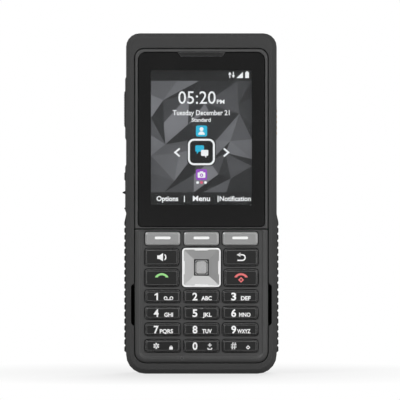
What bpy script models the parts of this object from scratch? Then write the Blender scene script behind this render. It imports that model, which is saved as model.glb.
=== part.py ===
"""A rugged keypad handset, standing on its bottom edge with the screen facing -Y.

The origin is under the middle of the handset, on the surface that it stands on. Sizes are in
millimetres and are turned into metres where a mesh is made. Each piece is one object.
"""

import math

import bmesh
import bpy
from mathutils import Vector

MM = 0.001
ROUND_SIDES = 24
CORNER_STEPS = 5

# Running and seating clearances
GAP = 0.3
KEY_GAP = 0.3
TRAVEL_SPARE = 0.1
GROOVE = 0.4
SEAM_GAP = 0.3

# Outer body
BODY_HEIGHT = 146.0
BODY_WIDTH = 64.6
BODY_DEPTH = 20.4
TOP_RADIUS = 5.8
BOTTOM_RADIUS = 8.2

# Bumper
SIDE_BORDER = 3.4
TOP_BORDER = 6.3
BOTTOM_BORDER = 4.4
BUMPER_WALL = 1.4
BUMPER_END_WALL = 2.4
FRONT_CHAMFER = 1.9
FRONT_CHAMFER_DEPTH = 1.2
BACK_CHAMFER = 1.4
BACK_CHAMFER_DEPTH = 1.0
BACK_LIP = 3.1
BACK_LIP_THICK = 2.0
BUMPER_BELOW_FRAME = 0.3
BUMPER_BELOW_BACK = 0.3

# Side grips
GRIP_THICK = 1.1
GRIP_PROUD = 0.8
GRIP_LOW = 9.0
GRIP_HIGH = 68.5
GRIP_TAPER = 3.6
GRIP_HALF_DEPTH = 6.3
RIB_PITCH = 3.0
RIB_GROOVE = 1.4
RIB_GROOVE_FLOOR = 0.5
RIB_DEPTH = 0.45

# Front frames and window
KEY_PROUD = 0.3
FRAME_THICK = 3.0
FRAME_TOP_RADIUS = 3.9
FRAME_BOTTOM_RADIUS = 4.7
FRAME_EDGE = 0.5
SEAM_RADIUS = 0.6
GLASS_SIDE_MARGIN = 1.4
GLASS_TOP_MARGIN = 1.5
GLASS_BOTTOM_MARGIN = 0.95
GLASS_TOP_RADIUS = 3.4
GLASS_BOTTOM_RADIUS = 1.6
GLASS_THICK = 1.1
GLASS_EDGE = 0.2
GLASS_SET_BACK = 0.2
GASKET_THICK = 0.5
GASKET_WIDTH = 2.0
DISPLAY_THICK = 1.8
DISPLAY_SIDE_INSET = 2.5
DISPLAY_TOP_INSET = 2.3
DISPLAY_BOTTOM_INSET = 3.7
DISPLAY_RADIUS = 1.0
EARPIECE_TOP_WIDTH = 20.2
EARPIECE_BOTTOM_WIDTH = 17.6
EARPIECE_HEIGHT = 1.7
EARPIECE_GAP = 0.15
EARPIECE_PORT_WIDTH = 12.0
RECEIVER_SIZE = (15.0, 3.0, 4.6)

# Keypad frame
PAD_FLOOR_DROP = 0.45
RIDGE_INSET = 1.9
RIDGE_FOOT_INSET = 2.7
RIDGE_CROWN = 0.12
PAD_TOP_SLOPE = 0.125
PAD_EDGE_DROP = 0.7
PAD_PLATE_THICK = 1.75
PAD_SKIRT = 1.2
PAD_TOP_SKIRT = 0.6

# Keys
KEY_THICK = 2.3
KEY_TRAVEL = 0.4
KEY_CHAMFER = 0.7
KEY_CHAMFER_DEPTH = 0.45
KEY_RADIUS = 1.2
KEY_WIDTH = 15.0
KEY_HEIGHT = 5.15
SOFTKEY_HEIGHT = 5.7
SIDE_KEY_WIDTH = 14.4
SIDE_KEY_HEIGHT = 7.2
NAV_WIDTH = 16.6
NAV_HEIGHT = 16.8
NAV_RADIUS = 1.6
NAV_RIM = 0.75
NAV_RIM_CHAMFER = 0.35
NAV_RIM_STEP = 0.15
NAV_RIM_DROP = 0.25
NAV_DISH = 0.55
NAV_THICK = 1.45
NAV_TILT_ROOM = 0.35
ACTUATOR_THICK = 0.5
ACTUATOR_INSET = 1.4
OK_WIDTH = 5.7
OK_HEIGHT = 6.4
OK_RADIUS = 1.3
OK_SUNK = 0.3
OK_CHAMFER = 0.3
CHIN = 4.3
ROW_WEB = 1.32
NAV_LOW_WEB = 0.8
SIDE_KEY_WEB = 1.05
NAV_SIDE_WEB = 0.9
SOFTKEY_WEB = 0.55
PAD_TOP_WEB = 0.85
COLUMN_WEB = 1.0

# Layers behind the keys
MAT_THICK = 0.8
MAT_EDGE = 1.1
MAT_RADIUS = 1.0
DOME_RISE = 0.4
DOME_RADIUS = 2.0
DOME_TOP_RADIUS = 0.9
DOME_FOOT = 0.1
DOME_SIDES = 10
DOME_SHEET_THICK = 0.3
BOARD_THICK = 1.0
BOARD_TOP_DROP = 15.0
BOARD_RADIUS = 3.0

# Rear housing
HOUSING_WALL = 1.6
HOUSING_TOP_RADIUS = 3.7
HOUSING_BOTTOM_RADIUS = 6.5
BACK_EDGE_CHAMFER = 0.4
BAY_FLOOR_DEPTH = 9.8
BAY_FLOOR_THICK = 1.5
TOP_POCKET_HALF_WIDTH = 20.0
TOP_POCKET_LOW_DROP = 36.0
TOP_POCKET_WALL = 2.5
RECESS_LEDGE = 2.0

# Battery and cover
COVER_HALF_WIDTH = 27.0
COVER_LOW = 17.0
COVER_TOP_DROP = 40.0
COVER_THICK = 2.0
COVER_RADIUS = 3.0
COVER_CHAMFER = 0.4
BATTERY_HALF_WIDTH = 25.0
BATTERY_LOW = 32.5
BATTERY_THICK = 5.2
BATTERY_CLEAR = 0.5
BATTERY_RADIUS = 1.5
CONTACT_SIZE = (12.0, 3.1)
CONTACT_X = 14.0
CONTACT_BELOW_COVER = 2.3
LATCH_X = 19.0
LATCH_Z = 24.8
LATCH_HEAD_RADIUS = 4.0
LATCH_HEAD_THICK = 1.1
LATCH_STEM_RADIUS = 2.5
LATCH_STEM_END = 6.5
LATCH_WING_RADIUS = 3.2
LATCH_WING_WIDTH = 1.6
LATCH_WING_DEPTH = 3.6
LATCH_WING_THICK = 1.2
LATCH_SLOT = (5.4, 1.2, 0.6)

# Screws
SCREW_X = 26.2
SCREW_LOW = 12.0
SCREW_TOP_DROP = 11.5
SCREW_HEAD_RADIUS = 1.8
SCREW_HEAD_THICK = 1.4
SCREW_HEAD_DEPTH = 0.9
SCREW_SHANK_RADIUS = 0.8
SCREW_SHANK_END = 14.5
BOSS_RADIUS = 1.6
SCREW_SOCKET = (1.8, 0.5, 0.5)

# Side keys
PTT_COLLAR = (100.0, 127.6)
PTT_KEY = (105.7, 121.4)
PTT_HALF_DEPTH = 3.2
PTT_PROUD = 0.85
PTT_THICK = 1.85
COLLAR_PROUD = 0.45
COLLAR_RAMP = 1.2
COLLAR_HALF_DEPTH = 5.2
VOLUME_COLLAR = (68.9, 89.9)
VOLUME_MARGIN = 0.9
VOLUME_HALF_DEPTH = 3.0
VOLUME_THICK = 1.25
VOLUME_BAR = (82.8, 86.5, 0.4)
VOLUME_PIP = (77.0, 78.4, 1.15)
VOLUME_BUMP = (70.3, 71.4, 0.4)
SIDE_KEY_RADIUS = 1.0
SIDE_KEY_CHAMFER = 0.45
RAISED_MARGIN = 0.6

# Bottom port
PORT_X = 3.8
PORT_Y = -2.4
PORT_COVER_WIDTH = 16.4
PORT_COVER_DEPTH = 7.4
PORT_COVER_THICK = 1.8
PORT_COVER_SUNK = 0.2
PORT_RIB = (10.0, 3.8, 1.6)
PORT_HOLE_ROOM = 1.2
USB_SIZE = (9.0, 3.2, 7.4)
USB_MOUTH = (7.8, 2.2, 5.0)

# Sound
SLOT_LENGTH = 18.0
SLOT_MIDDLE = 29.6
SLOT_WIDTH = 1.3
SLOT_CORNER_SHARE = 0.6
GRILLE_WIDTH = 0.8
GRILLE_BELOW = 0.3
MIC_X = -8.3
MIC_Z = 6.7
MIC_RADIUS = 0.6
MIC_SIZE = (3.0, 1.0, 2.0)

# Parts on the back of the board
SHIELD_SIZE = (44.0, 2.2, 38.0)
SHIELD_LOW = 36.0
SHIELD_WALL = 0.4
SIM_SIZE = (14.0, 1.4, 14.0)
SIM_X = -14.0
SIM_LOW = 80.0
LOUDSPEAKER_SIZE = (16.0, 3.6, 14.0)
LOUDSPEAKER_X = -13.0
LOUDSPEAKER_LOW = 8.0
MOTOR_X = 17.0
MOTOR_Z = 21.0
MOTOR_RADIUS = 4.5
MOTOR_THICK = 3.0

# Camera
CAMERA_DROP = 20.0
CAMERA_SIZE = 9.0
BARREL_RADIUS = 3.6
BARREL_DEPTH = 1.8
CAMERA_WINDOW_RADIUS = 5.6
CAMERA_WINDOW_THICK = 1.2
CAMERA_PROUD = 0.3
FLASH_X = 11.0
FLASH_RADIUS = 1.8
FLASH_THICK = 1.0

# Accessory contacts in the right side
ACCESSORY_Z = (100.0, 116.0)
ACCESSORY_HALF_DEPTH = 3.5
ACCESSORY_THICK = 3.3
ACCESSORY_PROUD = 0.1
ACCESSORY_RADIUS = 1.5

# Levels through the depth, front to back
Y_KEY_FRONT = -BODY_DEPTH / 2
Y_REAR_MOST = BODY_DEPTH / 2
Y_FRAME_FRONT = Y_KEY_FRONT + KEY_PROUD
Y_BUMPER_FRONT = Y_FRAME_FRONT + BUMPER_BELOW_FRAME
Y_FRAME_BACK = Y_FRAME_FRONT + FRAME_THICK
Y_GLASS_FRONT = Y_FRAME_FRONT + GLASS_SET_BACK
Y_GLASS_BACK = Y_GLASS_FRONT + GLASS_THICK
Y_LEDGE = Y_GLASS_BACK + GAP
Y_GASKET_BACK = Y_LEDGE + GASKET_THICK
Y_DISPLAY_FRONT = Y_GASKET_BACK + GAP
Y_DISPLAY_BACK = Y_DISPLAY_FRONT + DISPLAY_THICK
Y_PAD_FLOOR = Y_FRAME_FRONT + PAD_FLOOR_DROP
Y_PAD_BACK = Y_PAD_FLOOR + PAD_PLATE_THICK
Y_KEY_BACK = Y_KEY_FRONT + KEY_THICK
Y_MAT_FRONT = Y_KEY_BACK + KEY_TRAVEL + TRAVEL_SPARE
Y_MAT_BACK = Y_MAT_FRONT + MAT_THICK
Y_DOME_TOP = Y_MAT_BACK + GAP
Y_DOME_BASE = Y_DOME_TOP + DOME_RISE
Y_DOME_BACK = Y_DOME_BASE + DOME_SHEET_THICK
Y_BOARD_FRONT = max(Y_DOME_BACK, Y_DISPLAY_BACK) + GAP
Y_BOARD_BACK = Y_BOARD_FRONT + BOARD_THICK
Y_PARTS = Y_BOARD_BACK + GAP
Y_HOUSING_FRONT = Y_FRAME_BACK + GAP
Y_BACK_FACE = Y_REAR_MOST - CAMERA_PROUD
Y_BUMPER_BACK = Y_BACK_FACE - BUMPER_BELOW_BACK
Y_BACK_LIP = Y_BUMPER_BACK - BACK_LIP_THICK
Y_BAY_BACK = Y_REAR_MOST - BAY_FLOOR_DEPTH
Y_BAY_FLOOR = Y_BAY_BACK + BAY_FLOOR_THICK
Y_COVER_FRONT = Y_BACK_FACE - COVER_THICK
Y_COVER_SEAT = Y_COVER_FRONT - GAP
LATCH_BORE_RADIUS = math.hypot(LATCH_WING_RADIUS, LATCH_WING_WIDTH / 2) + GAP
Y_BATTERY_BACK = Y_COVER_FRONT - BATTERY_CLEAR
Y_BATTERY_FRONT = Y_BATTERY_BACK - BATTERY_THICK
Y_POCKET_END = Y_BACK_FACE - TOP_POCKET_WALL
BEYOND = 2.0

# Places across and up the front
BODY_HALF = BODY_WIDTH / 2
FRAME_HALF = BODY_HALF - SIDE_BORDER - GROOVE
FRAME_LOW = BOTTOM_BORDER + GROOVE
FRAME_HIGH = BODY_HEIGHT - TOP_BORDER - GROOVE
KEY_OPEN = KEY_HEIGHT + 2 * KEY_GAP
ROW_PITCH = KEY_OPEN + ROW_WEB
ROW_LOWEST = FRAME_LOW + CHIN + KEY_OPEN / 2
ROW_TOP_EDGE = ROW_LOWEST + 3 * ROW_PITCH + KEY_OPEN / 2
NAV_OPEN = NAV_HEIGHT + 2 * KEY_GAP
NAV_Z = ROW_TOP_EDGE + NAV_LOW_WEB + NAV_OPEN / 2
SIDE_OPEN = SIDE_KEY_HEIGHT + 2 * KEY_GAP
SIDE_SHIFT = (SIDE_OPEN + SIDE_KEY_WEB) / 2
SIDE_X = (NAV_WIDTH + SIDE_KEY_WIDTH) / 2 + 2 * KEY_GAP + NAV_SIDE_WEB
SOFTKEY_OPEN = SOFTKEY_HEIGHT + 2 * KEY_GAP
SOFTKEY_Z = NAV_Z + NAV_OPEN / 2 + SOFTKEY_WEB + SOFTKEY_OPEN / 2
SEAM_Z = SOFTKEY_Z + SOFTKEY_OPEN / 2 + PAD_TOP_WEB
COLUMN_PITCH = KEY_WIDTH + 2 * KEY_GAP + COLUMN_WEB
PAD_HIGH = SEAM_Z - SEAM_GAP / 2
WINDOW_LOW = SEAM_Z + SEAM_GAP / 2
GLASS_HALF = FRAME_HALF - GLASS_SIDE_MARGIN
GLASS_LOW = WINDOW_LOW + GLASS_BOTTOM_MARGIN
GLASS_HIGH = FRAME_HIGH - GLASS_TOP_MARGIN
DISPLAY_HALF = GLASS_HALF - DISPLAY_SIDE_INSET
DISPLAY_LOW = GLASS_LOW + DISPLAY_BOTTOM_INSET
DISPLAY_HIGH = GLASS_HIGH - DISPLAY_TOP_INSET
HOUSING_HALF = BODY_HALF - BUMPER_WALL - GAP
HOUSING_LOW = BUMPER_END_WALL + GAP
HOUSING_HIGH = BODY_HEIGHT - BUMPER_END_WALL - GAP
CAVITY_HALF = HOUSING_HALF - HOUSING_WALL
CAVITY_LOW = HOUSING_LOW + HOUSING_WALL
CAVITY_HIGH = HOUSING_HIGH - HOUSING_WALL
COVER_HIGH = BODY_HEIGHT - COVER_TOP_DROP
BAY_HIGH = COVER_HIGH - RECESS_LEDGE
CONTACT_HIGH = COVER_HIGH - CONTACT_BELOW_COVER - GAP
CONTACT_LOW = CONTACT_HIGH - CONTACT_SIZE[1]
BATTERY_HIGH = CONTACT_LOW - GAP
CAMERA_Z = BODY_HEIGHT - CAMERA_DROP
BOARD_HIGH = BODY_HEIGHT - BOARD_TOP_DROP
SCREW_HIGH = BODY_HEIGHT - SCREW_TOP_DROP
SCREWS = {
    "screw_bottom_left": (-SCREW_X, SCREW_LOW),
    "screw_bottom_right": (SCREW_X, SCREW_LOW),
    "screw_top_left": (-SCREW_X, SCREW_HIGH),
    "screw_top_right": (SCREW_X, SCREW_HIGH),
}

# Key name, centre x, centre z, width, height
FRONT_KEYS = [
    ("softkey_left", -COLUMN_PITCH, SOFTKEY_Z, KEY_WIDTH, SOFTKEY_HEIGHT),
    ("softkey_middle", 0.0, SOFTKEY_Z, KEY_WIDTH, SOFTKEY_HEIGHT),
    ("softkey_right", COLUMN_PITCH, SOFTKEY_Z, KEY_WIDTH, SOFTKEY_HEIGHT),
    ("speaker_key", -SIDE_X, NAV_Z + SIDE_SHIFT, SIDE_KEY_WIDTH, SIDE_KEY_HEIGHT),
    ("back_key", SIDE_X, NAV_Z + SIDE_SHIFT, SIDE_KEY_WIDTH, SIDE_KEY_HEIGHT),
    ("call_key", -SIDE_X, NAV_Z - SIDE_SHIFT, SIDE_KEY_WIDTH, SIDE_KEY_HEIGHT),
    ("end_key", SIDE_X, NAV_Z - SIDE_SHIFT, SIDE_KEY_WIDTH, SIDE_KEY_HEIGHT),
]
NUMBER_ROWS = [
    ("key_1", "key_2", "key_3"),
    ("key_4", "key_5", "key_6"),
    ("key_7", "key_8", "key_9"),
    ("key_star", "key_0", "key_pound"),
]

# Finish: red, green, blue, roughness, metallic
FINISHES = {
    "rubber": (0.045, 0.045, 0.047, 0.75, 0.0),
    "frame_plastic": (0.06, 0.06, 0.062, 0.5, 0.0),
    "key_plastic": (0.03, 0.03, 0.032, 0.4, 0.0),
    "silver": (0.55, 0.55, 0.56, 0.3, 0.8),
    "glass": (0.01, 0.01, 0.012, 0.05, 0.0),
    "housing_plastic": (0.05, 0.05, 0.052, 0.6, 0.0),
    "board": (0.02, 0.16, 0.08, 0.5, 0.0),
    "steel": (0.6, 0.6, 0.6, 0.3, 1.0),
    "silicone": (0.35, 0.35, 0.36, 0.7, 0.0),
    "battery_wrap": (0.12, 0.12, 0.13, 0.5, 0.0),
    "lens": (0.8, 0.78, 0.6, 0.2, 0.0),
}


def clear_scene():
    for obj in list(bpy.data.objects):
        bpy.data.objects.remove(obj, do_unlink=True)


def arc(centre_u, centre_v, radius, start):
    """A quarter circle's points, counter-clockwise from the angle start, in degrees."""
    points = []
    for step in range(CORNER_STEPS + 1):
        angle = math.radians(start + 90.0 * step / CORNER_STEPS)
        points.append((centre_u + radius * math.cos(angle), centre_v + radius * math.sin(angle)))
    return points


def plate(half, low, high, low_radius, high_radius, centre=0.0):
    """A rounded rectangle, with its own radius for the two low and the two high corners."""
    left, right = centre - half, centre + half
    points = arc(right - low_radius, low + low_radius, low_radius, -90.0)
    points += arc(right - high_radius, high - high_radius, high_radius, 0.0)
    points += arc(left + high_radius, high - high_radius, high_radius, 90.0)
    points += arc(left + low_radius, low + low_radius, low_radius, 180.0)
    return points


def key_plate(centre_u, centre_v, width, height, radius, inset=0.0):
    """A rounded rectangle round a centre, drawn in by inset."""
    half = width / 2 - inset
    low, high = centre_v - height / 2 + inset, centre_v + height / 2 - inset
    corner = max(radius - inset, 0.2)
    return plate(half, low, high, corner, corner, centre_u)


def circle(centre_u, centre_v, radius, sides=ROUND_SIDES):
    points = []
    for step in range(sides):
        angle = 2.0 * math.pi * step / sides
        points.append((centre_u + radius * math.cos(angle), centre_v + radius * math.sin(angle)))
    return points


def rectangle(low_u, high_u, low_v, high_v):
    return [(low_u, low_v), (high_u, low_v), (high_u, high_v), (low_u, high_v)]


def place(u, v, level, axis):
    """The point at level along axis, with u and v on the two axes left, in metres."""
    if axis == "X":
        point = (level, u, v)
    elif axis == "Y":
        point = (u, level, v)
    else:
        point = (u, v, level)
    return Vector(point) * MM


def add_loft(bm, rings, axis):
    """Adds one closed shell through rings of equal point counts, each a (points, level) pair."""
    loops = []
    for points, level in rings:
        loops.append([bm.verts.new(place(u, v, level, axis)) for u, v in points])
    faces = [bm.faces.new(loops[0]), bm.faces.new(loops[-1])]
    count = len(loops[0])
    for low_loop, high_loop in zip(loops, loops[1:]):
        for i in range(count):
            j = (i + 1) % count
            faces.append(bm.faces.new((low_loop[i], low_loop[j], high_loop[j], high_loop[i])))
    bmesh.ops.recalc_face_normals(bm, faces=faces)


def prism(points, start, end, axis="Y"):
    return ([(points, start), (points, end)], axis)


def block(x, y, z):
    """A box from three (low, high) pairs."""
    return prism(rectangle(x[0], x[1], y[0], y[1]), z[0], z[1], "Z")


def rod(x, z, radius, start, end, sides=ROUND_SIDES):
    return prism(circle(x, z, radius, sides), start, end, "Y")


def mesh_object(name, shells):
    """A new object made of closed shells, each a (rings, axis) pair."""
    mesh = bpy.data.meshes.new(name)
    bm = bmesh.new()
    for rings, axis in shells:
        add_loft(bm, rings, axis)
    bm.to_mesh(mesh)
    bm.free()
    obj = bpy.data.objects.new(name, mesh)
    bpy.context.scene.collection.objects.link(obj)
    return obj


def dress(obj, finish):
    red, green, blue, roughness, metallic = FINISHES[finish]
    material = bpy.data.materials.new(obj.name)
    material.use_nodes = True
    shader = material.node_tree.nodes["Principled BSDF"]
    shader.inputs["Base Color"].default_value = (red, green, blue, 1.0)
    shader.inputs["Roughness"].default_value = roughness
    shader.inputs["Metallic"].default_value = metallic
    obj.data.materials.append(material)


def piece(name, shell, finish, smooth=False):
    """One sub-part made from a single closed shell."""
    obj = mesh_object(name, [shell])
    dress(obj, finish)
    if smooth:
        obj.data.shade_smooth()
        obj.data.set_sharp_from_angle(angle=math.radians(35.0))
    return obj


def combine(obj, shells, operation, label):
    """Joins shells that stay clear of each other to obj, or cuts them from it."""
    helper = mesh_object(f"{obj.name}_{label}", shells)
    helper.hide_render = True
    helper.display_type = "WIRE"
    modifier = obj.modifiers.new(label, "BOOLEAN")
    modifier.operation = operation
    modifier.solver = "EXACT"
    modifier.object = helper


def join(obj, shells, label="added"):
    combine(obj, shells, "UNION", label)


def cut(obj, shells, label="cut"):
    combine(obj, shells, "DIFFERENCE", label)


def set_origin(obj, x, y, z):
    """Moves the object's origin to a joint's place and leaves its shape where it is."""
    point = Vector((x, y, z)) * MM
    for vertex in obj.data.vertices:
        vertex.co -= point
    obj.location = point


def body_outline(inset=0.0):
    return plate(BODY_HALF - inset, inset, BODY_HEIGHT - inset, BOTTOM_RADIUS - inset, TOP_RADIUS - inset)


def frame_outline(grow=0.0, low=FRAME_LOW, high=FRAME_HIGH, low_radius=FRAME_BOTTOM_RADIUS):
    high_radius = FRAME_TOP_RADIUS
    return plate(FRAME_HALF + grow, low - grow, high + grow, low_radius + grow, high_radius + grow)


def housing_outline(grow=0.0):
    return plate(
        HOUSING_HALF + grow,
        HOUSING_LOW - grow,
        HOUSING_HIGH + grow,
        HOUSING_BOTTOM_RADIUS + grow,
        HOUSING_TOP_RADIUS + grow,
    )


def back_outline(grow=0.0):
    """The opening in the bumper's back lip, drawn in to the housing's raised back."""
    inset = BACK_LIP + GAP - grow
    return plate(
        BODY_HALF - inset,
        BUMPER_END_WALL + GAP + BUMPER_WALL - grow,
        BODY_HEIGHT - BUMPER_END_WALL - GAP - BUMPER_WALL + grow,
        HOUSING_BOTTOM_RADIUS - BUMPER_WALL + grow,
        HOUSING_TOP_RADIUS - BUMPER_WALL + grow,
    )


def collar(low, high):
    """A raised band on the left side, with ramped ends, from inside the wall outwards."""
    root, skin = -BODY_HALF + BUMPER_WALL / 2, -BODY_HALF
    top = skin - COLLAR_PROUD
    outline = [(root, low), (root, high), (skin, high), (top, high - COLLAR_RAMP)]
    outline += [(top, low + COLLAR_RAMP), (skin, low)]
    return prism(outline, -COLLAR_HALF_DEPTH, COLLAR_HALF_DEPTH)


def slot_outline(side, inner, width, length):
    """A speaker slot beside the number keys, with its outer corners cut at 45 degrees."""
    outer = inner + width
    low, high = SLOT_MIDDLE - length / 2, SLOT_MIDDLE + length / 2
    corner = width * SLOT_CORNER_SHARE
    outline = [(inner, low), (outer - corner, low), (outer, low + corner)]
    outline += [(outer, high - corner), (outer - corner, high), (inner, high)]
    return [(side * x, z) for x, z in outline]


def build_bumper():
    front_edge = Y_BUMPER_FRONT + FRONT_CHAMFER_DEPTH
    back_edge = Y_BUMPER_BACK - BACK_CHAMFER_DEPTH
    rings = [
        (body_outline(FRONT_CHAMFER), Y_BUMPER_FRONT),
        (body_outline(), front_edge),
        (body_outline(), back_edge),
        (body_outline(BACK_CHAMFER), Y_BUMPER_BACK),
    ]
    bumper = piece("bumper", (rings, "Y"), "rubber", smooth=True)
    join(bumper, [collar(*PTT_COLLAR), collar(*VOLUME_COLLAR)], "collars")
    inside = [
        (frame_outline(GROOVE), Y_BUMPER_FRONT - BEYOND),
        (frame_outline(GROOVE), Y_FRAME_BACK),
        (housing_outline(GAP), Y_FRAME_BACK),
        (housing_outline(GAP), Y_BACK_LIP),
        (back_outline(GAP), Y_BACK_LIP),
        (back_outline(GAP), Y_BUMPER_BACK + BEYOND),
    ]
    cut(bumper, [(inside, "Y")], "inside")
    left, right = -BODY_HALF - BEYOND, BODY_HALF + BEYOND
    volume_low, volume_high = volume_span()
    ptt_low, ptt_high = PTT_KEY
    ptt_hole = key_plate(
        0.0,
        (ptt_low + ptt_high) / 2,
        2 * (PTT_HALF_DEPTH + GAP),
        ptt_high - ptt_low + 2 * GAP,
        SIDE_KEY_RADIUS + GAP,
    )
    volume_hole = key_plate(
        0.0,
        (volume_low + volume_high) / 2,
        2 * (VOLUME_HALF_DEPTH + GAP),
        volume_high - volume_low + 2 * GAP,
        SIDE_KEY_RADIUS + GAP,
    )
    side_holes = [
        prism(ptt_hole, left, -HOUSING_HALF, "X"),
        prism(volume_hole, left, -HOUSING_HALF, "X"),
        prism(accessory_outline(GAP), HOUSING_HALF, right, "X"),
    ]
    cut(bumper, side_holes, "side_holes")
    cover_half, cover_front, cover_back = port_cover_box(GAP)
    port = block((PORT_X - cover_half, PORT_X + cover_half), (cover_front, cover_back), (-BEYOND, HOUSING_LOW))
    slots = []
    for side in (-1, 1):
        outline = slot_outline(side, FRAME_HALF, GROOVE + SLOT_WIDTH, SLOT_LENGTH)
        slots.append(prism(outline, Y_BUMPER_FRONT - BEYOND, Y_FRAME_BACK + BEYOND))
    grip_seat = BODY_HALF - (GRIP_THICK - GRIP_PROUD) - GAP
    depth = GRIP_HALF_DEPTH + GAP
    seats = []
    for side in (-1, 1):
        x_pair = sorted((side * grip_seat, side * right))
        seats.append(block(x_pair, (-depth, depth), (GRIP_LOW - GAP, GRIP_HIGH + GAP)))
    cut(bumper, [port, *slots, *seats], "seats")


def volume_span():
    low, high = VOLUME_COLLAR
    return low + VOLUME_MARGIN, high - VOLUME_MARGIN


def accessory_outline(grow=0.0):
    low, high = ACCESSORY_Z
    return key_plate(
        0.0,
        (low + high) / 2,
        2 * (ACCESSORY_HALF_DEPTH + grow),
        high - low + 2 * grow,
        ACCESSORY_RADIUS + grow,
    )


def port_cover_box(grow=0.0):
    """Half the port cover's width, and its front and back."""
    half_depth = PORT_COVER_DEPTH / 2 + grow
    return PORT_COVER_WIDTH / 2 + grow, PORT_Y - half_depth, PORT_Y + half_depth


def build_grips():
    """The ribbed pads on both sides, with grooves across their outer faces."""
    outer = BODY_HALF + GRIP_PROUD
    inner = outer - GRIP_THICK
    shoulder = BODY_HALF
    mouth = RIB_GROOVE / 2
    floor = RIB_GROOVE_FLOOR / 2
    ribs = int((GRIP_HIGH - GRIP_TAPER - GRIP_LOW) / RIB_PITCH)
    outline = [(inner, GRIP_LOW), (shoulder, GRIP_LOW)]
    for rib in range(ribs):
        low = GRIP_LOW + rib * RIB_PITCH
        outline.append((outer, low + mouth))
        outline.append((outer, low + RIB_PITCH - mouth))
        outline.append((outer - RIB_DEPTH, low + RIB_PITCH - floor))
        outline.append((outer - RIB_DEPTH, low + RIB_PITCH + floor))
    last_land = GRIP_LOW + ribs * RIB_PITCH + mouth
    outline += [(outer, last_land), (outer, GRIP_HIGH - GRIP_TAPER), (shoulder, GRIP_HIGH), (inner, GRIP_HIGH)]
    for name, side in (("grip_left", -1), ("grip_right", 1)):
        points = [(side * x, z) for x, z in outline]
        piece(name, prism(points, -GRIP_HALF_DEPTH, GRIP_HALF_DEPTH), "rubber")


def screw_bosses(places, start):
    """Posts that the housing screws turn into, from the frame back to the housing."""
    return [rod(x, z, BOSS_RADIUS, start, Y_BAY_BACK - GAP, 16) for x, z in places]


def screw_bores(places, radius):
    end = Y_BACK_FACE - SCREW_SHANK_END - GAP
    return [rod(x, z, radius, end, Y_BACK_FACE + BEYOND, 16) for x, z in places]


def boss_clearance():
    start, end = Y_KEY_FRONT, Y_BAY_BACK
    return [rod(x, z, BOSS_RADIUS + GAP, start, end, 16) for x, z in SCREWS.values()]


def build_window_frame():
    outline = frame_outline(low=WINDOW_LOW, low_radius=SEAM_RADIUS)
    soft = frame_outline(grow=-FRAME_EDGE, low=WINDOW_LOW, low_radius=SEAM_RADIUS)
    rings = [(soft, Y_FRAME_FRONT), (outline, Y_FRAME_FRONT + FRAME_EDGE), (outline, Y_FRAME_BACK)]
    frame = piece("window_frame", (rings, "Y"), "frame_plastic", smooth=True)
    places = [SCREWS["screw_top_left"], SCREWS["screw_top_right"]]
    join(frame, screw_bosses(places, Y_LEDGE), "bosses")
    opening = [
        (glass_outline(GAP), Y_FRAME_FRONT - BEYOND),
        (glass_outline(GAP), Y_LEDGE),
        (display_outline(GAP), Y_LEDGE),
        (display_outline(GAP), Y_FRAME_BACK + BEYOND),
    ]
    cut(frame, [(opening, "Y")], "opening")
    port_half = EARPIECE_PORT_WIDTH / 2
    port_low = DISPLAY_HIGH - GAP
    port_levels = (Y_LEDGE - GAP, Y_FRAME_BACK + BEYOND)
    sound_port = block((-port_half, port_half), port_levels, (port_low, GLASS_HIGH - GAP))
    cut(frame, [sound_port, *screw_bores(places, SCREW_SHANK_RADIUS + GAP)], "ports")


def glass_outline(grow=0.0):
    low_radius, high_radius = GLASS_BOTTOM_RADIUS + grow, GLASS_TOP_RADIUS + grow
    return plate(GLASS_HALF + grow, GLASS_LOW - grow, GLASS_HIGH + grow, low_radius, high_radius)


def display_outline(grow=0.0):
    radius = max(DISPLAY_RADIUS + grow, DISPLAY_RADIUS / 2)
    return plate(DISPLAY_HALF + grow, DISPLAY_LOW - grow, DISPLAY_HIGH + grow, radius, radius)


def earpiece_outline(grow=0.0):
    top, bottom = EARPIECE_TOP_WIDTH / 2 + grow, EARPIECE_BOTTOM_WIDTH / 2 + grow
    low = GLASS_HIGH - EARPIECE_HEIGHT - grow
    high = GLASS_HIGH + (BEYOND if grow else 0.0)
    flare = (top - bottom) * (high - GLASS_HIGH) / EARPIECE_HEIGHT
    return [(-bottom, low), (bottom, low), (top + flare, high), (-top - flare, high)]


def build_window():
    rings = [
        (glass_outline(-GLASS_EDGE), Y_GLASS_FRONT),
        (glass_outline(), Y_GLASS_FRONT + GLASS_EDGE),
        (glass_outline(), Y_GLASS_BACK),
    ]
    glass = piece("window_glass", (rings, "Y"), "glass")
    notch = prism(earpiece_outline(EARPIECE_GAP), Y_GLASS_FRONT - BEYOND, Y_GLASS_BACK + BEYOND)
    cut(glass, [notch], "notch")
    piece("earpiece_mesh", prism(earpiece_outline(), Y_GLASS_FRONT + GLASS_EDGE, Y_GLASS_BACK), "steel")
    gasket = piece("display_gasket", prism(display_outline(), Y_LEDGE, Y_GASKET_BACK), "silicone")
    cut(gasket, [prism(display_outline(-GASKET_WIDTH), Y_LEDGE - BEYOND, Y_GASKET_BACK + BEYOND)])
    piece("display_module", prism(display_outline(), Y_DISPLAY_FRONT, Y_DISPLAY_BACK), "glass")


def all_keys():
    """Every plain front key: name, centre x, centre z, width, height."""
    keys = list(FRONT_KEYS)
    for row, names in enumerate(NUMBER_ROWS):
        z = ROW_LOWEST + (3 - row) * ROW_PITCH
        for column, name in enumerate(names):
            keys.append((name, (column - 1) * COLUMN_PITCH, z, KEY_WIDTH, KEY_HEIGHT))
    return keys


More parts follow.
